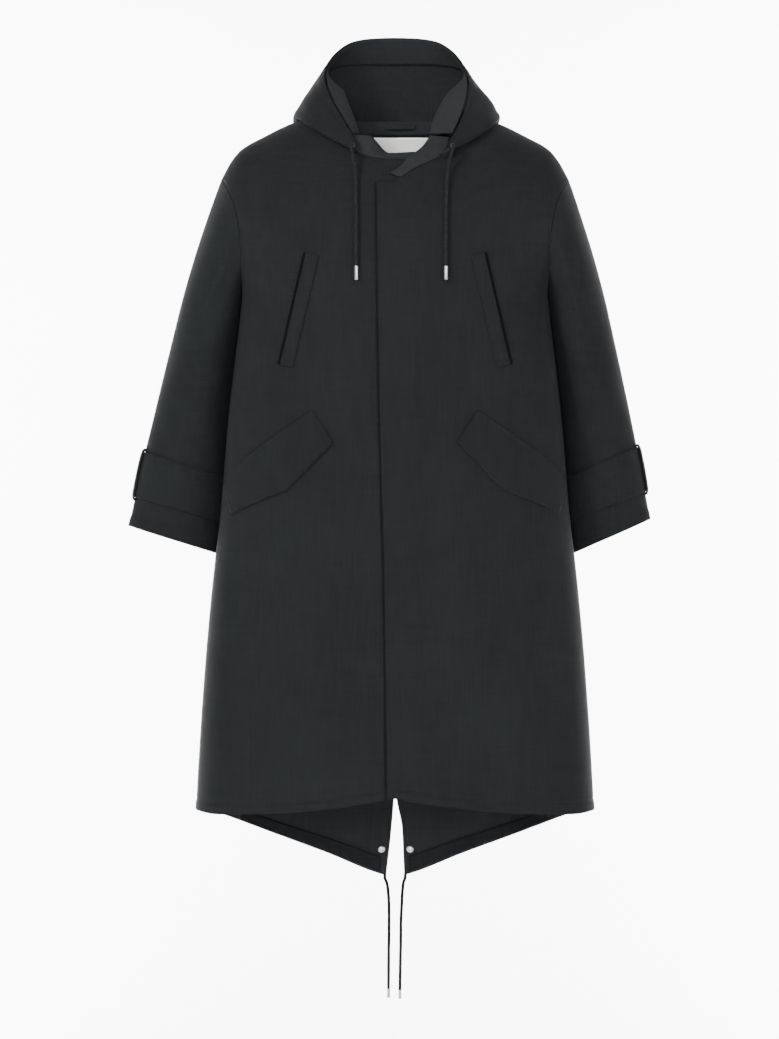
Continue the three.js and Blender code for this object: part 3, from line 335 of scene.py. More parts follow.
def surface(side, face, x, z, offset):
    """Points of the garment's body: x counts from the middle towards that side."""
    depth = np.maximum(body_depth(x, z, face), SEAM_GAP / 2)
    p = np.stack([side * x, face * depth, z + 0 * x], -1)
    edge = 1 - ease((np.abs(x) / half_width(z) - SIDE_FADE["from"]) / SIDE_FADE["over"])
    below = SHOULDER_FADE["z"] - z + SHOULDER_FADE["slope"] * (np.abs(x) - SHOULDER_FADE["x"])
    lift = relief(CREASES[face], side * x, z) * edge * ease(below / SHOULDER_FADE["over"])
    if side == LEFT and face == FRONT:
        lift = lift + fly_lift(x)
    if side == RIGHT and face == FRONT:
        beside = x + x_on(FLY_EDGE, z)
        furrow = np.exp(-((beside / FLY_FURROW["width"]) ** 2)) * ease((FLY_FURROW["top"] - z) / 10)
        lift = lift - FLY_FURROW["depth"] * furrow
    return p + body_normal(p) * (lift + offset)[..., None]


# Panels
DOME_ROWS, ARMHOLE_ROWS, SKIRT_ROWS = 30, 20, 150
COLUMNS = 96
FLY_COLUMNS = {"at": 0.15, "spread": 0.055, "extra": 4}
ARMHOLE_SHARE = 0.4
HEM_CROWDING = 1.15


def armhole_x(z):
    return x_on(ARMHOLE, z)


def armhole_height(rise):
    low = np.full(np.shape(rise), float(DOME_BASE))
    high = np.full(np.shape(rise), float(ARMHOLE["z"][-1]))
    for _ in range(40):
        z = (low + high) / 2
        below = z < DOME_BASE + (shoulder_at(armhole_x(z)) - DOME_BASE) * rise
        low, high = np.where(below, z, low), np.where(below, high, z)
    return (low + high) / 2


def neck_reach(x, neck):
    rise = (z_on(neck, x) - DOME_BASE) / (shoulder_at(x) - DOME_BASE)
    reach = np.arcsin(np.clip(rise, 0, 1) ** (dome_power(x) / 2)) / (np.pi / 2)
    return np.where(x >= NECK_HALF_WIDTH, 1, reach)


def edge_x(v):
    power = dome_power(armhole_x(DOME_BASE))
    return armhole_x(armhole_height(np.sin(v * np.pi / 2) ** (2 / power)))


def column_shares(side, face):
    """Columns lie closer together beside the fly."""
    t = steps(0, 1, 600)
    density = 1 + 0.6 * t
    if (side, face) == (RIGHT, FRONT):
        near = np.exp(-(((t - FLY_COLUMNS["at"]) / FLY_COLUMNS["spread"]) ** 2))
        density = density + FLY_COLUMNS["extra"] * near
    gone = np.cumsum(density) - density[0]
    return np.interp(steps(0, 1, COLUMNS), gone / gone[-1], t)


def panel_places(share, middle, neck, hem):
    """Places of a panel's grid: dome, armhole and skirt, from the neck down to the hem."""
    base = middle(DOME_BASE)
    step = 1 - np.arange(DOME_ROWS)[:, None] / DOME_ROWS
    v = step * neck_reach(mix(base, edge_x(1.0), share), neck)
    x = mix(base, edge_x(np.where(share > ARMHOLE_SHARE, v, step)), share)
    rise = np.sin(v * np.pi / 2) ** (2 / dome_power(x))
    rows = [(x, DOME_BASE + (shoulder_at(x) - DOME_BASE) * rise)]
    step = np.arange(ARMHOLE_ROWS)[:, None] / ARMHOLE_ROWS
    z = mix(DOME_BASE, UNDERARM, np.sin(step * np.pi / 2))
    rows.append((mix(middle(z), armhole_x(z), share), z + 0 * share))
    step = np.arange(SKIRT_ROWS + 1)[:, None] / SKIRT_ROWS
    low = BODY["z"][0]
    hem_x = mix(middle(low), half_width(low), share)
    z = mix(UNDERARM, z_on(hem, np.abs(hem_x)), 1 - (1 - step) ** HEM_CROWDING)
    rows.append((mix(middle(z), half_width(z), share), z))
    return [np.concatenate(values) for values in zip(*rows)]


def middle_of(side, face):
    if face == BACK:
        return lambda z: x_on(VENT[side], z)
    if side == LEFT:
        return lambda z: x_on(FLY_EDGE, z)
    return lambda z: -UNDERLAP + 0 * z


HEM_BAND = 14
HEM_RISE = 0.9
HEM_FURROW = 2.2


def hem_relief(x, z, hem):
    """The turned hem is a little thicker, with a furrow along its stitching."""
    up = z - z_on(hem, np.abs(x))
    band = HEM_RISE * (1 - ease((up - HEM_BAND) / 3))
    return band - HEM_RISE * np.exp(-(((up - HEM_BAND - 1) / HEM_FURROW) ** 2))


# Meshes
def grid_normals(grid, closed=False):
    if closed:
        round_ = np.roll(grid, -1, 1) - np.roll(grid, 1, 1)
    else:
        round_ = np.gradient(grid, axis=1)
    return unit(np.cross(round_, np.gradient(grid, axis=0)))


def new_object(name, vertices, faces, look, smooth):
    mesh = bpy.data.meshes.new(name)
    mesh.from_pydata(vertices, [], faces)
    mesh.polygons.foreach_set("use_smooth", np.full(len(mesh.polygons), smooth))
    mesh.update()
    made = bpy.data.objects.new(name, mesh)
    bpy.context.scene.collection.objects.link(made)
    mesh.materials.append(look)
    return made


def new_piece(name, vertices, faces, slot, smooth=True):
    piece = new_object(name, (vertices * MM).tolist(), faces, MATERIALS[slot], smooth)
    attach(piece, "root")
    return piece


def shell(node, outer, inner, slot="shell_cloth"):
    """A wall of cloth between two grids, closed round its border, in place of one node."""
    rows, columns, _ = outer.shape
    count = rows * columns
    vertices = np.concatenate([outer.reshape(-1, 3), inner.reshape(-1, 3)])
    index = np.arange(count).reshape(rows, columns)
    quads = np.stack([index[:-1, :-1], index[:-1, 1:], index[1:, 1:], index[1:, :-1]], -1).reshape(-1, 4)
    border = np.concatenate([index[0, :-1], index[:-1, -1], index[-1, :0:-1], index[:0:-1, 0]])
    following = np.roll(border, -1)
    rim = np.stack([following, border, border + count, following + count], -1)
    faces = np.concatenate([quads, quads[:, ::-1] + count, rim])
    a, b, c, d = (vertices[faces[:, k]] for k in range(4))
    volume = np.sum(a * np.cross(b, c)) + np.sum(a * np.cross(c, d))
    if volume < 0:
        faces = faces[:, ::-1]
    smooth = np.arange(len(faces)) < 2 * len(quads)
    piece = new_piece(node + "_cloth", vertices, faces.tolist(), slot, smooth)
    if slot == "shell_cloth":
        # The inner wall gets a lighter copy of the shell cloth: painted light on the shaded inside of the
        # hood and garment
        piece.data.materials.append(MATERIALS["inside_cloth_painted_light"])
        inside = np.zeros(len(faces), int)
        inside[len(quads) : 2 * len(quads)] = 1
        piece.data.polygons.foreach_set("material_index", inside)
    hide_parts(node)
    return piece


def offset_pair(grid, thickness):
    normals = grid_normals(grid)
    return grid + normals * thickness / 2, grid - normals * thickness / 2


def length_along(points):
    return np.concatenate([[0], np.cumsum(np.linalg.norm(np.diff(points, axis=0), axis=1))])


def between(at, gone, values):
    return np.stack([np.interp(at, gone, values[:, k]) for k in range(3)], -1)


def resample(points, normals, pitch):
    gone = length_along(points)
    at = np.arange(pitch / 2, gone[-1], pitch)
    place = between(at, gone, points)
    return place, unit(between(at, gone, normals)), unit(np.gradient(place, axis=0))


STITCH = {"pitch": 3.6, "length": 2.5, "width": 0.55, "height": 0.35, "sunk": 0.2}


def stitches(name, rows):
    """Rows of stitches, each a low slug of thread that lies on the cloth."""
    vertices = []
    corners = [(-1, -1), (1, -1), (1, 1), (-1, 1)]
    length, width = STITCH["length"], STITCH["width"]
    for points, normals in rows:
        place, up, run = resample(points, normals, STITCH["pitch"])
        across = np.cross(up, run)
        for sx, sy in corners:
            vertices.append(place + run * sx * length / 2 + across * sy * width / 2 - up * STITCH["sunk"])
        for sx, sy in corners:
            top = run * sx * length * 0.36 + across * sy * width * 0.3 + up * STITCH["height"]
            vertices.append(place + top)
    blocks = np.concatenate([np.stack(vertices[k : k + 8], 1) for k in range(0, len(vertices), 8)])
    cell = np.array([[0, 1, 5, 4], [1, 2, 6, 5], [2, 3, 7, 6], [3, 0, 4, 7], [4, 5, 6, 7], [3, 2, 1, 0]])
    faces = (cell[None] + 8 * np.arange(len(blocks))[:, None, None]).reshape(-1, 4)
    new_piece(name, blocks.reshape(-1, 3), faces.tolist(), "shell_cloth", smooth=False)


# Materials
def material(name, color, roughness, metallic=0.0):
    made = bpy.data.materials.new(name)
    made.use_nodes = True
    shader = made.node_tree.nodes["Principled BSDF"]
    shader.inputs["Base Color"].default_value = (*color, 1)
    shader.inputs["Roughness"].default_value = roughness
    shader.inputs["Metallic"].default_value = metallic
    return made, made.node_tree, shader


def plain_noise(tree, place, scale, detail):
    made = tree.nodes.new("ShaderNodeTexNoise")
    made.inputs["Scale"].default_value = scale
    made.inputs["Detail"].default_value = detail
    tree.links.new(place, made.inputs["Vector"])
    return made.outputs["Fac"]


def noise(tree, place, scale, detail):
    """Noise whose grain is drawn out along the axes with a small scale."""
    stretch = tree.nodes.new("ShaderNodeMapping")
    stretch.inputs["Scale"].default_value = scale
    tree.links.new(place, stretch.inputs["Vector"])
    return plain_noise(tree, stretch.outputs["Vector"], 1, detail)


def weighted(tree, values, weights):
    """The sum of the values, each times its weight."""
    total = None
    for value, weight in zip(values, weights):
        step = tree.nodes.new("ShaderNodeMath")
        step.operation = "MULTIPLY_ADD"
        tree.links.new(value, step.inputs[0])
        step.inputs[1].default_value = weight
        if total is None:
            step.inputs[2].default_value = 0
        else:
            tree.links.new(total, step.inputs[2])
        total = step.outputs["Value"]
    return total


def add_grain(tree, shader, place, scale, strength, height):
    """A fine grain that tilts the surface."""
    bump = tree.nodes.new("ShaderNodeBump")
    bump.inputs["Strength"].default_value = strength
    bump.inputs["Distance"].default_value = height
    tree.links.new(plain_noise(tree, place, scale, 2), bump.inputs["Height"])
    tree.links.new(bump.outputs["Normal"], shader.inputs["Normal"])


# Noise scales along the three axes: upright threads, level threads, broad patches and even grain
WARP, WEFT, BROAD, EVEN = (330, 330, 14), (16, 16, 420), (9, 9, 5), (300, 300, 300)
THREAD_WEIGHTS = (0.4, 0.3, 0.3)
SHADE_RANGE = (0.36, 0.64)
CLOTH_ROUGHNESS = 0.9


def cloth_material(name, dark, light, weave_scale, weave_height, threads_show):
    made, tree, shader = material(name, dark, CLOTH_ROUGHNESS)
    place = tree.nodes.new("ShaderNodeTexCoord").outputs["Object"]
    if threads_show:
        threads = [noise(tree, place, scale, 3) for scale in (WARP, WEFT, BROAD)]
        shade = weighted(tree, threads, THREAD_WEIGHTS)
    else:
        shade = noise(tree, place, EVEN, 2)
    ramp = tree.nodes.new("ShaderNodeValToRGB")
    for element, position, color in zip(ramp.color_ramp.elements, SHADE_RANGE, (dark, light)):
        element.position = position
        element.color = (*color, 1)
    tree.links.new(shade, ramp.inputs["Fac"])
    tree.links.new(ramp.outputs["Color"], shader.inputs["Base Color"])
    add_grain(tree, shader, place, weave_scale, 0.5, weave_height)
    shader.inputs["Sheen Weight"].default_value = 0.012
    shader.inputs["Sheen Roughness"].default_value = 0.55
    shader.inputs["Specular IOR Level"].default_value = 0.04
    return made


def metal_material(name, color, roughness):
    made, tree, shader = material(name, color, roughness, 1.0)
    place = tree.nodes.new("ShaderNodeTexCoord").outputs["Object"]
    add_grain(tree, shader, place, 900, 0.08, 0.0001)
    return made


# Columns: dark shade, light shade, then scale and height of the weave and whether threads show
CLOTHS = {
    "shell_cloth": [(0.0072, 0.0078, 0.0084), (0.0104, 0.0113, 0.0121), 1500, 0.00035, True],
    # The welt opening row is a near-black copy of the cloth: painted shadow for the pocket opening
    "welt_opening_painted_shadow": [(0.0012, 0.0013, 0.0015), (0.002, 0.0021, 0.0023), 1500, 0.00035, True],
    # The inside row is a lighter copy of the shell cloth: painted light for inner walls that lie in shade
    "inside_cloth_painted_light": [(0.0125, 0.0134, 0.0142), (0.0172, 0.0184, 0.0195), 1500, 0.00035, True],
    "drawcord": [(0.007, 0.0075, 0.008), (0.013, 0.0135, 0.0145), 900, 0.0006, False],
    "label_cloth": [(0.94, 0.93, 0.915), (0.98, 0.97, 0.955), 2200, 0.0001, False],
}
MATERIALS = {name: cloth_material(name, *values) for name, values in CLOTHS.items()}
MATERIALS["fitting_metal"] = metal_material("satin_metal", (0.4, 0.4, 0.41), 0.34)
DARK_METAL = metal_material("dark_metal", (0.045, 0.047, 0.05), 0.5)

# Body panels
PANEL_NAMES = {
    (LEFT, FRONT): "left_front",
    (LEFT, BACK): "back_left",
    (RIGHT, FRONT): "right_front",
    (RIGHT, BACK): "back_right",
}
panels = {}
for (side, face), name in PANEL_NAMES.items():
    x, z = panel_places(column_shares(side, face), middle_of(side, face), NECK[side, face], HEM[face])
    outer = surface(side, face, x, z, hem_relief(x, z, HEM[face]))
    inner = surface(side, face, x, z, -CLOTH)
    panels[side, face] = {"outer": outer, "inner": inner}
    shell(name, outer, inner)

# Sleeves
RING_STEPS = DOME_ROWS + ARMHOLE_ROWS
SLEEVE_RINGS = 120
RING_CROWDING = 1.12
UNDER_FROM = RING_STEPS
UNDER_TO = 2 * RING_STEPS - (DOME_ROWS + ARMHOLE_ROWS // 4)
SLEEVE_SEAM = 0.25


def ring_angles():
    step = np.arange(RING_STEPS + 1)
    low = np.pi / 2 * (1 + (step - DOME_ROWS) / ARMHOLE_ROWS)
    half = np.where(step <= DOME_ROWS, step / DOME_ROWS * np.pi / 2, low)
    return np.concatenate([half, -half[-2:0:-1]])


def sleeve_row(place):
    at = np.arange(SLEEVE_END + 1)
    row = {key: along(at, values, place) for key, values in SLEEVE.items()}
    row["swing"] = SLEEVE_SWING * np.clip(place / SLEEVE_END, 0, 1) ** 1.5
    return row


def sleeve_point(side, place, angle):
    row = sleeve_row(place)
    outer_x = row["outer_x"] - side * row["swing"]
    outer_z = row["outer_z"] + side * row["swing"] * 0.6
    t = (1 + np.cos(angle)) / 2
    x = side * mix(row["inner_x"], outer_x, t)
    y = row["middle_y"] - row["depth"] * np.sin(angle)
    return np.stack([x, y, mix(row["inner_z"], outer_z, t)], -1)


def sleeve_normal(side, place, angle):
    h = 0.01
    down = sleeve_point(side, place + h, angle) - sleeve_point(side, place - h, angle)
    round_ = sleeve_point(side, place, angle + h) - sleeve_point(side, place, angle - h)
    return unit(np.cross(round_, down) * side)


def sleeve_relief(side, place, angle):
    p = sleeve_point(side, place, angle)
    face = np.sin(angle)
    total = 0
    for sign, half in ((1, FRONT), (-1, BACK)):
        share = ease(sign * face * 1.6)
        total = total + share * relief(SLEEVE_CREASES[side, half], p[..., 0], p[..., 2])
    return total * ease((place - 0.5) / 1.5) * (1 - ease((place - 7.0) / 0.7))


CUFF_HEM = 0.36
CUFF_RISE = 0.8
CUFF_STITCH = 1.05


def cuff_relief(place):
    """The cuff's turned hem and its furrow of stitching."""
    up = (SLEEVE_END - place) / CUFF_HEM
    return CUFF_RISE * (1 - ease((up - 1) * 4)) - CUFF_RISE * np.exp(-(((up - CUFF_STITCH) * 5) ** 2))


for side, name in SIDE_NAMES.items():
    angles = ring_angles()
    place = SLEEVE_END * (np.arange(SLEEVE_RINGS + 1) / SLEEVE_RINGS) ** RING_CROWDING
    grid = sleeve_point(side, place[:, None], angles[None])
    ring = {}
    for wall in ("outer", "inner"):
        front = panels[side, FRONT][wall][: RING_STEPS + 1, -1]
        back = panels[side, BACK][wall][RING_STEPS - 1 : 0 : -1, -1]
        ring[wall] = np.concatenate([front, back])
        ring[wall][0, 1] = 0
        ring[wall][RING_STEPS, 1] = 0
    share = sleeve_row(place)["armhole"][:, None, None]
    grid = grid + (ring["outer"] - grid[0])[None] * share
    normals = grid_normals(grid, closed=True) * side
    raised = sleeve_relief(side, place[:, None], angles[None]) + cuff_relief(place)[:, None]
    outer = grid + normals * raised[..., None]
    inner = grid - normals * (CLOTH - np.minimum(raised, 0))[..., None]
    gap = np.array([side * ARMHOLE_GAP, 0, -ARMHOLE_GAP * 0.4])
    panel_wall = unit(ring["inner"] - ring["outer"])
    sleeve_wall = unit(inner[1] - outer[1])
    turn = ease((0.8 - np.sum(panel_wall * sleeve_wall, -1)) / 0.6)[:, None]
    outer[0] = ring["outer"] + gap
    inner[0] = outer[0] + unit(mix(panel_wall, sleeve_wall, turn)) * CLOTH
    size = len(angles)
    parts = {"top": (UNDER_TO, size - (UNDER_TO - UNDER_FROM)), "under": (UNDER_FROM, UNDER_TO - UNDER_FROM)}
    for part, (first, count) in parts.items():
        pick = (first + np.arange(count + 1)) % size
        walls = []
        for wall in (outer, inner):
            run = wall[:, pick].copy()
            for edge, near in ((0, 1), (-1, -2)):
                run[:, edge] += unit(run[:, near] - run[:, edge]) * SLEEVE_SEAM
            walls.append(run)
        piece = shell(f"{name}_{part}_sleeve", *walls)


def sleeve_surface(side, place, angle, offset):
    normal = sleeve_normal(side, place, angle)
    return sleeve_point(side, place, angle) + normal * np.asarray(offset)[..., None]


def sleeve_stitch(side, place, angle, offset):
    return sleeve_surface(side, place, angle, offset), sleeve_normal(side, place, angle)


# Cuff straps and their keepers; angles run round the sleeve
STRAP_LIFT = 0.7
STRAP_ANGLES = (-1.15, 2.72)
STRAP_STITCHES = (-1.1, 2.68)
KEEPER_ANGLES = (-0.24, 0.3)
KEEPER_LIFT = STRAP_LIFT + CLOTH + 0.6
KEEPER = {
    "place": [-0.1, -0.07, -0.035, 0.12, 0.5, 0.88, 1.03, 1.07, 1.1],
    "lift": [0.6, 2, KEEPER_LIFT, KEEPER_LIFT + 1.5, KEEPER_LIFT + 2, KEEPER_LIFT + 1.5, KEEPER_LIFT, 2, 0.6],
}


def strap_puff(over):
    return 0.5 * np.sin(np.pi * over)


for side, name in SIDE_NAMES.items():
    place = STRAP_FROM + steps(0, 1, 16)[:, None]
    angle = steps(*STRAP_ANGLES, 110)[None]
    outer = sleeve_surface(side, place, angle, STRAP_LIFT + CLOTH + strap_puff(place - STRAP_FROM))
    inner = sleeve_surface(side, place, angle, STRAP_LIFT)
    piece = shell(f"{name}_cuff_strap", outer, inner)
    place = STRAP_FROM + steps(-0.1, 1.1, 40)[:, None]
    angle = steps(*KEEPER_ANGLES, 14)[None]
    over = place - STRAP_FROM
    lift = along(KEEPER["place"], KEEPER["lift"], over)
    outer = sleeve_surface(side, place, angle, lift + TRIM)
    bridge = ease((over + 0.04) / 0.03) * ease((1.04 - over) / 0.03)
    inner = sleeve_surface(side, place, angle, mix(0.3, lift, bridge))
    piece = shell(f"{name}_strap_keeper", outer, inner)
    rows = []
    for over in (0.1, 0.9):
        angle = steps(*STRAP_STITCHES, 200)
        place = np.full(angle.shape, STRAP_FROM + over)
        rows.append(sleeve_stitch(side, place, angle, STRAP_LIFT + CLOTH + strap_puff(place - STRAP_FROM)))
    angle = steps(-np.pi, np.pi, 300)
    place = np.full(angle.shape, SLEEVE_END - CUFF_HEM * CUFF_STITCH)
    rows.append(sleeve_stitch(side, place, angle, cuff_relief(place)))
    stitches(f"{name}_cuff_stitching", rows)


# Hip flaps
def front_at_girth(girth, z):
    turn = np.sin(steps(0, np.pi / 2, 120))
    x = half_width(z)[..., None] * turn
    depth = body_depth(x, z[..., None] + 0 * x, FRONT)
    gone = np.cumsum(np.hypot(np.diff(x, axis=-1), np.diff(depth, axis=-1)), -1)
    gone = np.concatenate([np.zeros(gone.shape[:-1] + (1,)), gone], -1)
    gone, x = gone.reshape(-1, gone.shape[-1]), x.reshape(-1, x.shape[-1])
    flat = [np.interp(reach, row, places) for reach, row, places in zip(girth.ravel(), gone, x)]
    return np.array(flat).reshape(girth.shape)


def flap_place(run, down):
    size = math.hypot(1, FLAP["slope"])
    run_x, run_z = 1 / size, FLAP["slope"] / size
    girth = FLAP["girth"] + run * run_x - down * run_z
    z = FLAP["height"] - run * run_z - down * run_x
    return front_at_girth(girth, z), z


def flap_drop(run):
    before = run / FLAP["point_at"]
    after = (FLAP["length"] - run) / (FLAP["length"] - FLAP["point_at"])
    return mix(FLAP["end"], FLAP["point"], np.where(run < FLAP["point_at"], before, after))


def front_stitch(side, x, z, offset):
    p = surface(side, FRONT, x, z, offset)
    return p, body_normal(p)


FLAP_LIFT = 0.9
FLAP_INSET = 6.5


def flap_flare(share):
    return 1.2 * share**2


def flap_puff(run, share):
    return 0.7 * np.sin(np.pi * share) * np.sin(np.pi * np.clip(run / FLAP["length"], 0, 1)) ** 0.5


def flap_stitch(side, runs, downs):
    share = downs / flap_drop(runs)
    lift = FLAP_LIFT + CLOTH + flap_flare(share) + flap_puff(runs, share)
    return front_stitch(side, *flap_place(runs, downs), lift)


for side, name in SIDE_NAMES.items():
    before, after = steps(0, FLAP["point_at"], 30), steps(FLAP["point_at"], FLAP["length"], 32)
    run = np.concatenate([before, after[1:]])[None]
    share = steps(0, 1, 26)[:, None]
    x, z = flap_place(run, share * flap_drop(run))
    flare = flap_flare(share)
    outer = surface(side, FRONT, x, z, FLAP_LIFT + CLOTH + flare + flap_puff(run, share))
    inner = surface(side, FRONT, x, z, FLAP_LIFT + flare)
    piece = shell(f"{name}_pocket_flap", outer, inner)
    first, last = FLAP_INSET, FLAP["length"] - FLAP_INSET
    runs = np.concatenate([np.full(24, first), steps(first, last, 150), np.full(24, last)])
    low = flap_drop(runs) - FLAP_INSET
    downs = np.concatenate([steps(FLAP_INSET, low[0], 23), low[24:-24], steps(low[-1], FLAP_INSET, 23)])
    rows = [flap_stitch(side, runs, downs)]
    runs = steps(first, last, 120)
    rows.append(flap_stitch(side, runs, np.full(runs.shape, FLAP_INSET)))
    stitches(f"{name}_flap_stitching", rows)


# Chest welts
WELT_LIFT = 0.6
WELT_ROWS, WELT_COLUMNS = 70, 12
# Welt columns that get the near-black cloth: painted shadow along the pocket opening
PAINTED_SHADOW_COLUMNS = (10, 11)
WELT_INSET = {"down": 0.02, "across": 0.4}


def welt_place(down, across):
    x = mix(WELT["top_x"], WELT["bottom_x"], down) + across * WELT["width"]
    z = mix(WELT["top_z"], WELT["bottom_z"], down) + across * WELT["width"] * WELT["slant"]
    return x, z


for side, name in SIDE_NAMES.items():
    down, across = steps(0, 1, WELT_ROWS)[:, None], steps(-0.5, 0.5, WELT_COLUMNS)[None]
    x, z = welt_place(down, across)
    outer = surface(side, FRONT, x, z, TRIM + WELT_LIFT)
    inner = surface(side, FRONT, x, z, WELT_LIFT)
    piece = shell(f"{name}_chest_welt", outer, inner)
    # The outer columns of the welt get the near-black cloth: painted shadow along the pocket opening
    piece.data.materials.append(MATERIALS["welt_opening_painted_shadow"])
    for column in PAINTED_SHADOW_COLUMNS:
        for face in range(column, WELT_ROWS * WELT_COLUMNS, WELT_COLUMNS):
            piece.data.polygons[face].material_index = 2
    first, last, reach = WELT_INSET["down"], 1 - WELT_INSET["down"], WELT_INSET["across"]
    downs = np.concatenate([np.full(8, first), steps(first, last, 60), np.full(8, last)])
    acrosses = np.concatenate([steps(reach, -reach, 7), np.full(61, -reach), steps(-reach, reach, 7)])
    x, z = welt_place(downs, acrosses)
    stitches(f"{name}_welt_stitching", [front_stitch(side, x, z, TRIM + WELT_LIFT)])


# Hood
def catmull(a, b, c, d, t):
    return 0.5 * (2 * b + (c - a) * t + (2 * a - 5 * b + 4 * c - d) * t**2 + (3 * b - a - 3 * c + d) * t**3)


def neck_shift(s):
    return NECK_SHIFT * ease((s - 2.5) / 4)


def turned_to(sign, normals):
    """Normals turned so that the one in the middle of the grid points to the back or the front."""
    rows, columns, _ = normals.shape
    return normals * sign * np.sign(normals[rows // 2, columns // 2, 1])


def hood_point(station, profile):
    """Points of the hood's middle surface for arrays of stations and profile places."""
    station, profile = np.broadcast_arrays(np.asarray(station, float), np.asarray(profile, float))
    table = np.concatenate([HOOD[1:2] * [-1, 1, 1], HOOD, HOOD[-1:]])
    s = np.abs(station)
    i = np.minimum(s.astype(int), HOOD_END - 1)
    controls = catmull(table[i], table[i + 1], table[i + 2], table[i + 3], (s - i)[..., None, None])
    j = np.clip(np.floor(profile).astype(int), 0, RIM - 1)
    t = (profile - j)[..., None]
    pick = lambda k: np.take_along_axis(controls, np.clip(k, 0, RIM)[..., None, None], -2)[..., 0, :]
    p = catmull(pick(j - 1), pick(j), pick(j + 1), pick(j + 2), t)
    p[..., 0] = np.where(station < 0, -1, 1) * p[..., 0] + neck_shift(s)
    clearance = HOOD_CLEARANCE + RIDGE_CLEARANCE * np.exp(-((p[..., 1] / 22) ** 2))
    return lift_off_body(p, clearance)


STATIONS = steps(-HOOD_END, HOOD_END, 224)
PROFILE = np.concatenate([steps(0, 1, 9)[:-1], steps(1, 2.6, 18)[:-1], steps(2.6, 5, 24)])
hood_grid = hood_point(STATIONS[:, None], PROFILE[None])
hood_normals = turned_to(BACK, grid_normals(hood_grid))
hood_lift = relief(HOOD_CREASES, STATIONS[:, None], PROFILE[None])
hood_lift = hood_lift * ease((PROFILE - 1.2) / 0.6) * (1 - ease((PROFILE - 4.0) / 0.6))
hood_rim = 0.8 * ease((PROFILE - 4.62) / 0.06) - 0.7 * np.exp(-(((PROFILE - 4.6) / 0.04) ** 2))
hood_outer = hood_grid + hood_normals * (CLOTH / 2 + hood_lift + hood_rim)[..., None]
hood_inner = hood_grid + hood_normals * (-CLOTH / 2 + np.minimum(hood_lift, 0))[..., None]
PIECES_OF_HOOD = {
    "hood_right": (-HOOD_END, -HOOD_SIDE_SEAM),
    "hood_center": (-HOOD_SIDE_SEAM, HOOD_SIDE_SEAM),
    "hood_left": (HOOD_SIDE_SEAM, HOOD_END),
}
for name, (low, high) in PIECES_OF_HOOD.items():
    chosen = (STATIONS > low - 1e-6) & (STATIONS < high + 1e-6)
    walls = [hood_outer[chosen].copy(), hood_inner[chosen].copy()]
    for wall in walls:
        if low > -HOOD_END:
            wall[0] += unit(wall[1] - wall[0]) * SEAM_GAP / 2
        if high < HOOD_END:
            wall[-1] += unit(wall[-2] - wall[-1]) * SEAM_GAP / 2
    piece = shell(name, *walls)


def facing_point(station, share):
    on_wall = hood_point(station, mix(RIM, 4.45, share))
    s = np.abs(station)
    at = np.arange(HOOD_END + 1)
    left, right, y, z = (along(at, FACING_EDGE[key], s) for key in (LEFT, RIGHT, "y", "z"))
    x = np.where(station < 0, -right, left) + neck_shift(s)
    edge = np.stack(np.broadcast_arrays(x, y, z), -1)
    share = np.asarray(share)[..., None]
    turned = mix(hood_point(station, RIM + 0 * s), edge, share)
    return mix(on_wall, turned, ease((s - 2.7) / 1.2)[..., None])


grid = facing_point(*crossed(steps(-FACING_END, FACING_END, 190), steps(0.04, 1, 14)))
normals = turned_to(FRONT, grid_normals(grid))
near = CLOTH / 2 + 0.9
piece = shell("hood_facing", grid + normals * near, grid + normals * (near + TRIM))


# Neck band, hanger loop and label
BAND = {"height": 22, "half_width": 76}
LOOP = {"low": 9, "high": 16.5, "from": -17, "to": 33, "thickness": 1.4}
LABEL = {"top": -4, "foot": -60, "from": -53, "to": 61, "gap": 0.8, "thickness": 0.9}


def neck_band_point(x, rise, offset):
    z = z_on(BACK_NECK, np.abs(x))
    foot = np.stack([x, body_depth(x, z, BACK), z], -1)
    inward = unit(-body_normal(foot) * [1, 1, 0])
    p = np.stack([foot[..., 0], foot[..., 1], rise - 2], -1)
    return p + inward * (3.9 + offset - 0.12 * rise + 4 * ease((np.abs(x) - 64) / 14))[..., None]


reach = BAND["half_width"]
rise, x = crossed(steps(0, BAND["height"], 8), steps(-reach, reach, 66))
outer = neck_band_point(x, rise, -TRIM / 2)
piece = shell("neck_band", outer, neck_band_point(x, rise, TRIM / 2))
rise, share = crossed(steps(LOOP["low"], LOOP["high"], 4), steps(0, 1, 30))
slack = TRIM / 2 + 0.4 + 3 * np.sin(np.pi * share)
x = mix(LOOP["from"], LOOP["to"], share)
loop = [neck_band_point(x, rise, slack + extra) for extra in (0, LOOP["thickness"])]
loop_piece = shell("hanger_loop", *loop)


def inside_back(x, z, offset):
    left = surface(LEFT, BACK, np.abs(x), z, -CLOTH - offset)
    right = surface(RIGHT, BACK, np.abs(x), z, -CLOTH - offset)
    return np.where((x < 0)[..., None], right, left)


z, x = crossed(steps(LABEL["top"], LABEL["foot"], 24), steps(LABEL["from"], LABEL["to"], 44))
outer = inside_back(x, z, LABEL["gap"] + LABEL["thickness"])
inner = inside_back(x, z, LABEL["gap"])
piece = shell("neck_label", outer, inner, slot="label_cloth")

# Collar ends
COLLAR_LEFT = {
    "inner": [
        [55.4, -72, -13], [48.4, -84, -24.5], [40.4, -93, -34], [28.5, -99.8, -43.3],
        [19.6, -103.6, -49.4], [10, -109.8, -62], [-9, -115.6, -75],
    ],
    "outer": [
        [86, -76, -16], [83, -87.5, -31], [71.5, -97, -46], [51.2, -105.4, -57.5],
        [37.4, -109.6, -63.7], [21.6, -114, -73], [9.7, -117.9, -82],
    ],
}
COLLAR_RIGHT = {"x": [-68, -41, -9, 31], "top": [-12, -14, -41, -39], "lean": [12, 8, 26, 26], "tucked": 6}


def through(rows, parts):
    rows = np.array(rows, float)
    at = steps(0, len(rows) - 1, parts)
    return np.stack([along(np.arange(len(rows)), rows[:, k], at) for k in range(3)], -1)


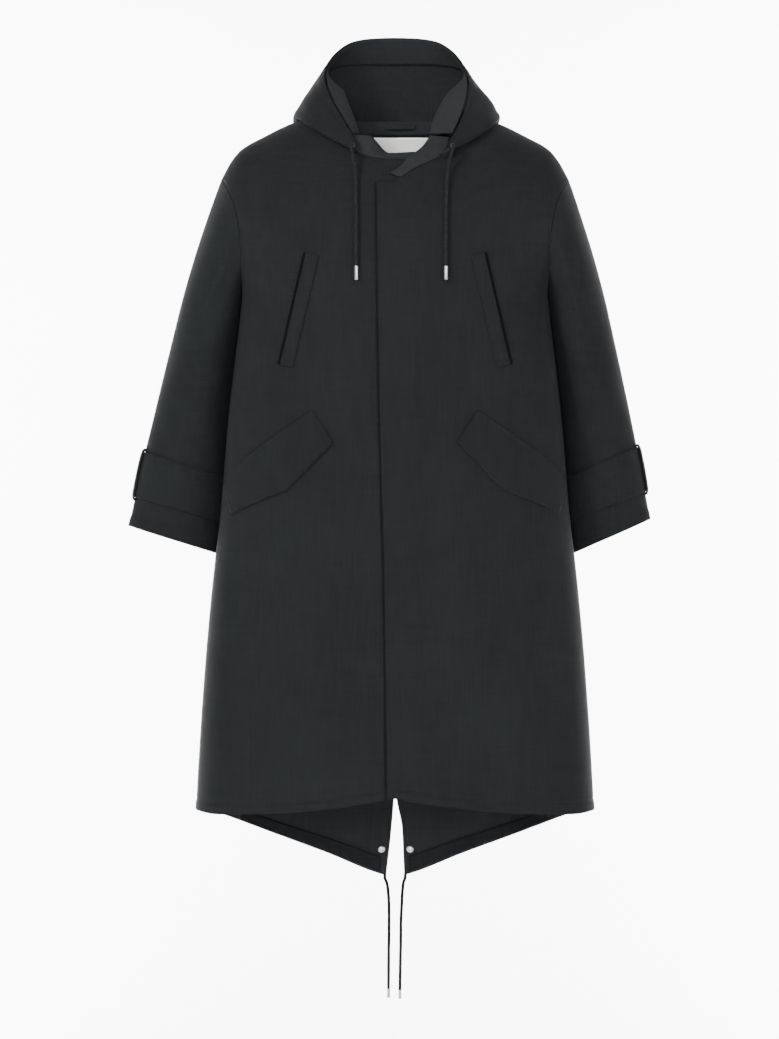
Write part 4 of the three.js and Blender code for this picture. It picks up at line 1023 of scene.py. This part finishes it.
inner, outer = (through(COLLAR_LEFT[key], 70)[:, None] for key in ("inner", "outer"))
grid = mix(inner, outer, steps(0, 1, 14)[None, :, None])
piece = shell("collar_left", *offset_pair(grid, TRIM))
place = steps(0, 3, 50)
x, top, lean = (along(np.arange(4), COLLAR_RIGHT[key], place) for key in ("x", "top", "lean"))
z = z_on(NECK[RIGHT, FRONT], -x) + 1
foot = np.stack([x, -body_depth(x, z, FRONT) + CLOTH / 2, z], -1)
head = np.stack([x, foot[:, 1] + lean, top], -1)
root = z - COLLAR_RIGHT["tucked"]
hidden = np.stack([x, -body_depth(x, root, FRONT) + CLOTH + 1.4, root], -1)
columns = [hidden, mix(hidden, foot, 0.5) + [0, 0.6, 0]] + [mix(foot, head, t) for t in steps(0.05, 1, 12)]
grid = np.stack(columns, 1)
piece = shell("collar_right", *offset_pair(grid, TRIM))

# Tail facings
FACING = {"from": 22, "to": 250, "rise": 1.2, "width": [25, 17], "gap": 0.6, "thickness": 1.4}
for side, name in SIDE_NAMES.items():
    up, x = crossed(steps(0, 1, 8), steps(FACING["from"], FACING["to"], 90))
    share = (x - FACING["from"]) / (FACING["to"] - FACING["from"])
    z = z_on(HEM[BACK], x) + FACING["rise"] + up * mix(*FACING["width"], share)
    outer = surface(side, BACK, x, z, -CLOTH - FACING["gap"] - FACING["thickness"])
    inner = surface(side, BACK, x, z, -CLOTH - FACING["gap"])
    piece = shell(f"tail_facing_{name}", outer, inner)

# Hem stitching of the body
TAIL_START, SIDE_END = 18, 312
rows = []
for side, face in PANEL_NAMES:
    start = float(middle_of(side, face)(HEM[FRONT]["z"][0])) + 2 if face == FRONT else TAIL_START
    x = steps(start, SIDE_END, 320)
    z = z_on(HEM[face], np.abs(x)) + HEM_BAND
    p = surface(side, face, x, z, hem_relief(x, z, HEM[face]))
    rows.append((p, body_normal(p)))
stitches("hem_stitching", rows)


# Metal pieces and cords; a profile gives radius and height
TURN_SIDES = 32
EYELET = [
    [2.2, 0], [4.6, 0], [4.6, 0.6], [4.3, 1.1], [3.8, 1.5], [3.1, 1.6], [2.5, 1.3], [2.2, 0.8], [2.2, 0],
]
HOOD_TIP = [[0, 0], [2.9, 0], [3.2, 0.3], [3.3, 1], [3.3, 20.6], [3.1, 21.5], [2.6, 22], [0, 22]]
TAIL_TIP = [[0, 0], [2.5, 0], [2.8, 0.3], [2.9, 0.9], [2.9, 14], [2.7, 14.7], [2.2, 15], [0, 15]]
SNAP = [[0, 0], [5.8, 0], [5.8, 0.8], [5.5, 1.3], [4.6, 2.1], [3, 2.5], [1.2, 2.6], [0, 2.6]]
SNAP_PLACE = {LEFT: [25, -1159], RIGHT: [-22, -1159]}
EYELET_STATION, EYELET_PROFILE = 6.8, 3.2
EYELET_HEIGHT = 1.6
CORD_GAP = 0.3
HOOD_CORD, TAIL_CORD = 6, 5.4


def ring_faces(count, sides):
    """Quads between rings that follow one another."""
    index = np.arange(count * sides).reshape(count, sides)
    ahead = np.roll(index, -1, 1)
    return np.stack([index[:-1], ahead[:-1], ahead[1:], index[1:]], -1).reshape(-1, 4)


def lathe(name, profile, at, axis, node):
    """A piece turned round its axis."""
    profile = np.array(profile, float)
    turn = steps(0, 2 * np.pi, TURN_SIDES)[:-1]
    ring = np.stack([np.outer(profile[:, 0], np.cos(turn)), np.outer(profile[:, 0], np.sin(turn)),
                     np.repeat(profile[:, 1:2], TURN_SIDES, 1)], -1)
    turned = np.array(Vector((0, 0, 1)).rotation_difference(Vector(axis)).to_matrix())
    vertices = ring.reshape(-1, 3) @ turned.T + np.array(at)
    piece = new_piece(name, vertices, ring_faces(len(profile), TURN_SIDES).tolist(), "fitting_metal")
    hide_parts(node)
    return piece


HOOD_CORDS = {
    RIGHT: [
        [-69.4, -113.4, -31], [-68.2, -114.8, -37.5], [-65.8, -115.2, -47], [-64, -116, -57],
        [-62.6, -117.4, -68], [-61.7, -119.6, -82], [-61.3, -124.6, -100], [-61.1, -130.8, -125],
        [-61, -133.9, -150], [-61, -134.3, -175], [-61, -134.4, -200], [-61, -134.5, -222],
    ],
    LEFT: [
        [93.2, -113.4, -31], [91.4, -114.6, -37.5], [88.2, -114.9, -47], [85.8, -115.6, -57],
        [83.8, -117, -68], [82.4, -119.4, -82], [81.4, -124.4, -100], [80.8, -130.2, -125],
        [80.4, -133.2, -150], [80.2, -133.6, -175], [80.1, -133.7, -200], [80, -133.8, -222],
    ],
}
TAIL_CORDS = {
    RIGHT: [
        [-16.5, 150.3, -1197.5], [-16.5, 150.5, -1201.8], [-16.2, 150.5, -1206.5], [-13.5, 150.4, -1213],
        [-11.5, 150.2, -1223], [-10.2, 150, -1240], [-9.6, 149.8, -1262], [-9.6, 149.6, -1290],
        [-10, 149.5, -1320], [-10.3, 149.4, -1350], [-10.4, 149.4, -1386],
    ],
    LEFT: [
        [17.1, 150.3, -1197.5], [17, 150.5, -1201.6], [16.5, 150.5, -1206.5], [13.8, 150.4, -1214],
        [12.4, 150.2, -1226], [11.4, 150, -1246], [10.2, 149.8, -1268], [9.6, 149.6, -1292],
        [9.4, 149.5, -1318], [8.8, 149.4, -1350], [8.2, 149.4, -1388],
    ],
}


def smooth_route(route, parts):
    points = np.array(route, float)
    padded = np.concatenate([2 * points[:1] - points[1:2], points, 2 * points[-1:] - points[-2:-1]])
    line = [catmull(*padded[i : i + 4], t) for i in range(len(points) - 1) for t in np.arange(parts) / parts]
    return np.array(line + [points[-1]])


CORD_SIDES = 20
CORD_PITCH = 0.9
INTO_TIP = 1.6


def cord(name, route, diameter, node):
    """A braided cord: a tube whose skin has slanted ribs."""
    x, y, z = route[-1]
    line = smooth_route(route + [[x, y, z - INTO_TIP]], 8)
    gone = length_along(line)
    count = int(gone[-1] / CORD_PITCH)
    at = steps(0, gone[-1], count)
    centre = between(at, gone, line)
    run = unit(np.gradient(centre, axis=0))
    first = unit(np.cross(run, [0.0, 1.0, 0.001]))
    second = np.cross(run, first)
    turn = steps(0, 2 * np.pi, CORD_SIDES)[:-1]
    braid = np.sin(6 * turn[None] + at[:, None] * 2.1) * np.sin(6 * turn[None] - at[:, None] * 2.1)
    radius = (diameter / 2) * (1 + 0.05 * braid)
    skin = centre[:, None] + radius[..., None] * (first[:, None] * np.cos(turn)[None, :, None]
                                                  + second[:, None] * np.sin(turn)[None, :, None])
    ends = np.arange(len(skin) * CORD_SIDES).reshape(-1, CORD_SIDES)[[0, -1]]
    faces = ring_faces(len(skin), CORD_SIDES).tolist() + [ends[0][::-1].tolist(), ends[1].tolist()]
    piece = new_piece(name, skin.reshape(-1, 3), faces, "drawcord")
    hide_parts(node)


def hood_outward(station, profile, h=0.05):
    round_ = hood_point(station + h, profile) - hood_point(station - h, profile)
    up = hood_point(station, profile + h) - hood_point(station, profile - h)
    return unit(np.cross(up, round_))


for side, name in SIDE_NAMES.items():
    at = side * EYELET_STATION
    outward = hood_outward(at, EYELET_PROFILE)
    seat = hood_point(at, EYELET_PROFILE) + outward * (CLOTH / 2 + 0.5)
    eyelet = lathe(f"{name}_hood_eyelet", EYELET, seat, outward, node=f"hood_eyelet_{name}")
    eyelet.data.materials[0] = DARK_METAL
    leaving = [(seat + outward * (EYELET_HEIGHT + CORD_GAP + d)).tolist() for d in (0, 2.6)]
    for part, route, diameter, tip_profile in (
        ("hood", leaving + HOOD_CORDS[side], HOOD_CORD, HOOD_TIP),
        ("tail", TAIL_CORDS[side], TAIL_CORD, TAIL_TIP),
    ):
        end = np.array(route[-1]) - [0, 0, CORD_GAP]
        tip = lathe(f"{name}_{part}_tip", tip_profile, end, (0, 0, -1), node=f"{part}_cord_tip_{name}")
        cord(f"{name}_{part}_cord", route, diameter, f"{part}_cord_{name}")
    x, z = SNAP_PLACE[side]
    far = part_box(f"tail_snap_{name}")[1]
    lathe(f"{name}_tail_snap", SNAP, [x, far[1] / MM, z], (0, -1, 0), node=f"tail_snap_{name}")

# Backdrop in metres: the floor bends up into the wall
FLOOR, BEND, RADIUS, WALL = -1.75, 1.2, 1.6, 2.8
NEAR_END, WALL_TOP, HALF_WIDTH = -9.0, 6.0, 9.0
sweep = [(NEAR_END, FLOOR), (BEND, FLOOR)]
for a in steps(0.1, math.pi / 2, 14):
    sweep.append((BEND + RADIUS * math.sin(a), FLOOR + RADIUS * (1 - math.cos(a))))
sweep.append((WALL, WALL_TOP))
vertices = [(x, y, z) for y, z in sweep for x in (-HALF_WIDTH, HALF_WIDTH)]
faces = [(2 * i, 2 * i + 1, 2 * i + 3, 2 * i + 2) for i in range(len(sweep) - 1)]
look = material("backdrop", (0.93, 0.93, 0.93), 0.9)[0]
new_object("backdrop", vertices, faces, look, smooth=True)


# Soft lights
def area_light(name, place, aim, size, power):
    light = bpy.data.lights.new(name, "AREA")
    light.shape = "RECTANGLE"
    light.size, light.size_y = size
    light.energy = power
    lamp = bpy.data.objects.new(name, light)
    bpy.context.scene.collection.objects.link(lamp)
    lamp.location = place
    lamp.rotation_euler = (Vector(aim) - Vector(place)).to_track_quat("-Z", "Y").to_euler()


area_light("key", (-3.0, -3.4, 2.2), (0, 0, -0.5), (1.2, 1.2), 270)
area_light("fill", (3.4, -3.8, 0.4), (0, 0, -0.6), (2.0, 2.4), 110)
area_light("front", (-0.2, -6.0, 0.2), (0, 0, -0.4), (1.6, 1.6), 270)
area_light("behind_left", (-1.9, 0.5, -0.5), (-1.2, 2.8, -0.6), (0.8, 3.0), 640)
area_light("behind_right", (1.9, 0.5, -0.5), (1.2, 2.8, -0.6), (0.8, 3.0), 640)
world = bpy.data.worlds.new("world")
bpy.context.scene.world = world
world.use_nodes = True
background = world.node_tree.nodes["Background"]
background.inputs["Color"].default_value = (1, 1, 1, 1)
background.inputs["Strength"].default_value = 0.6
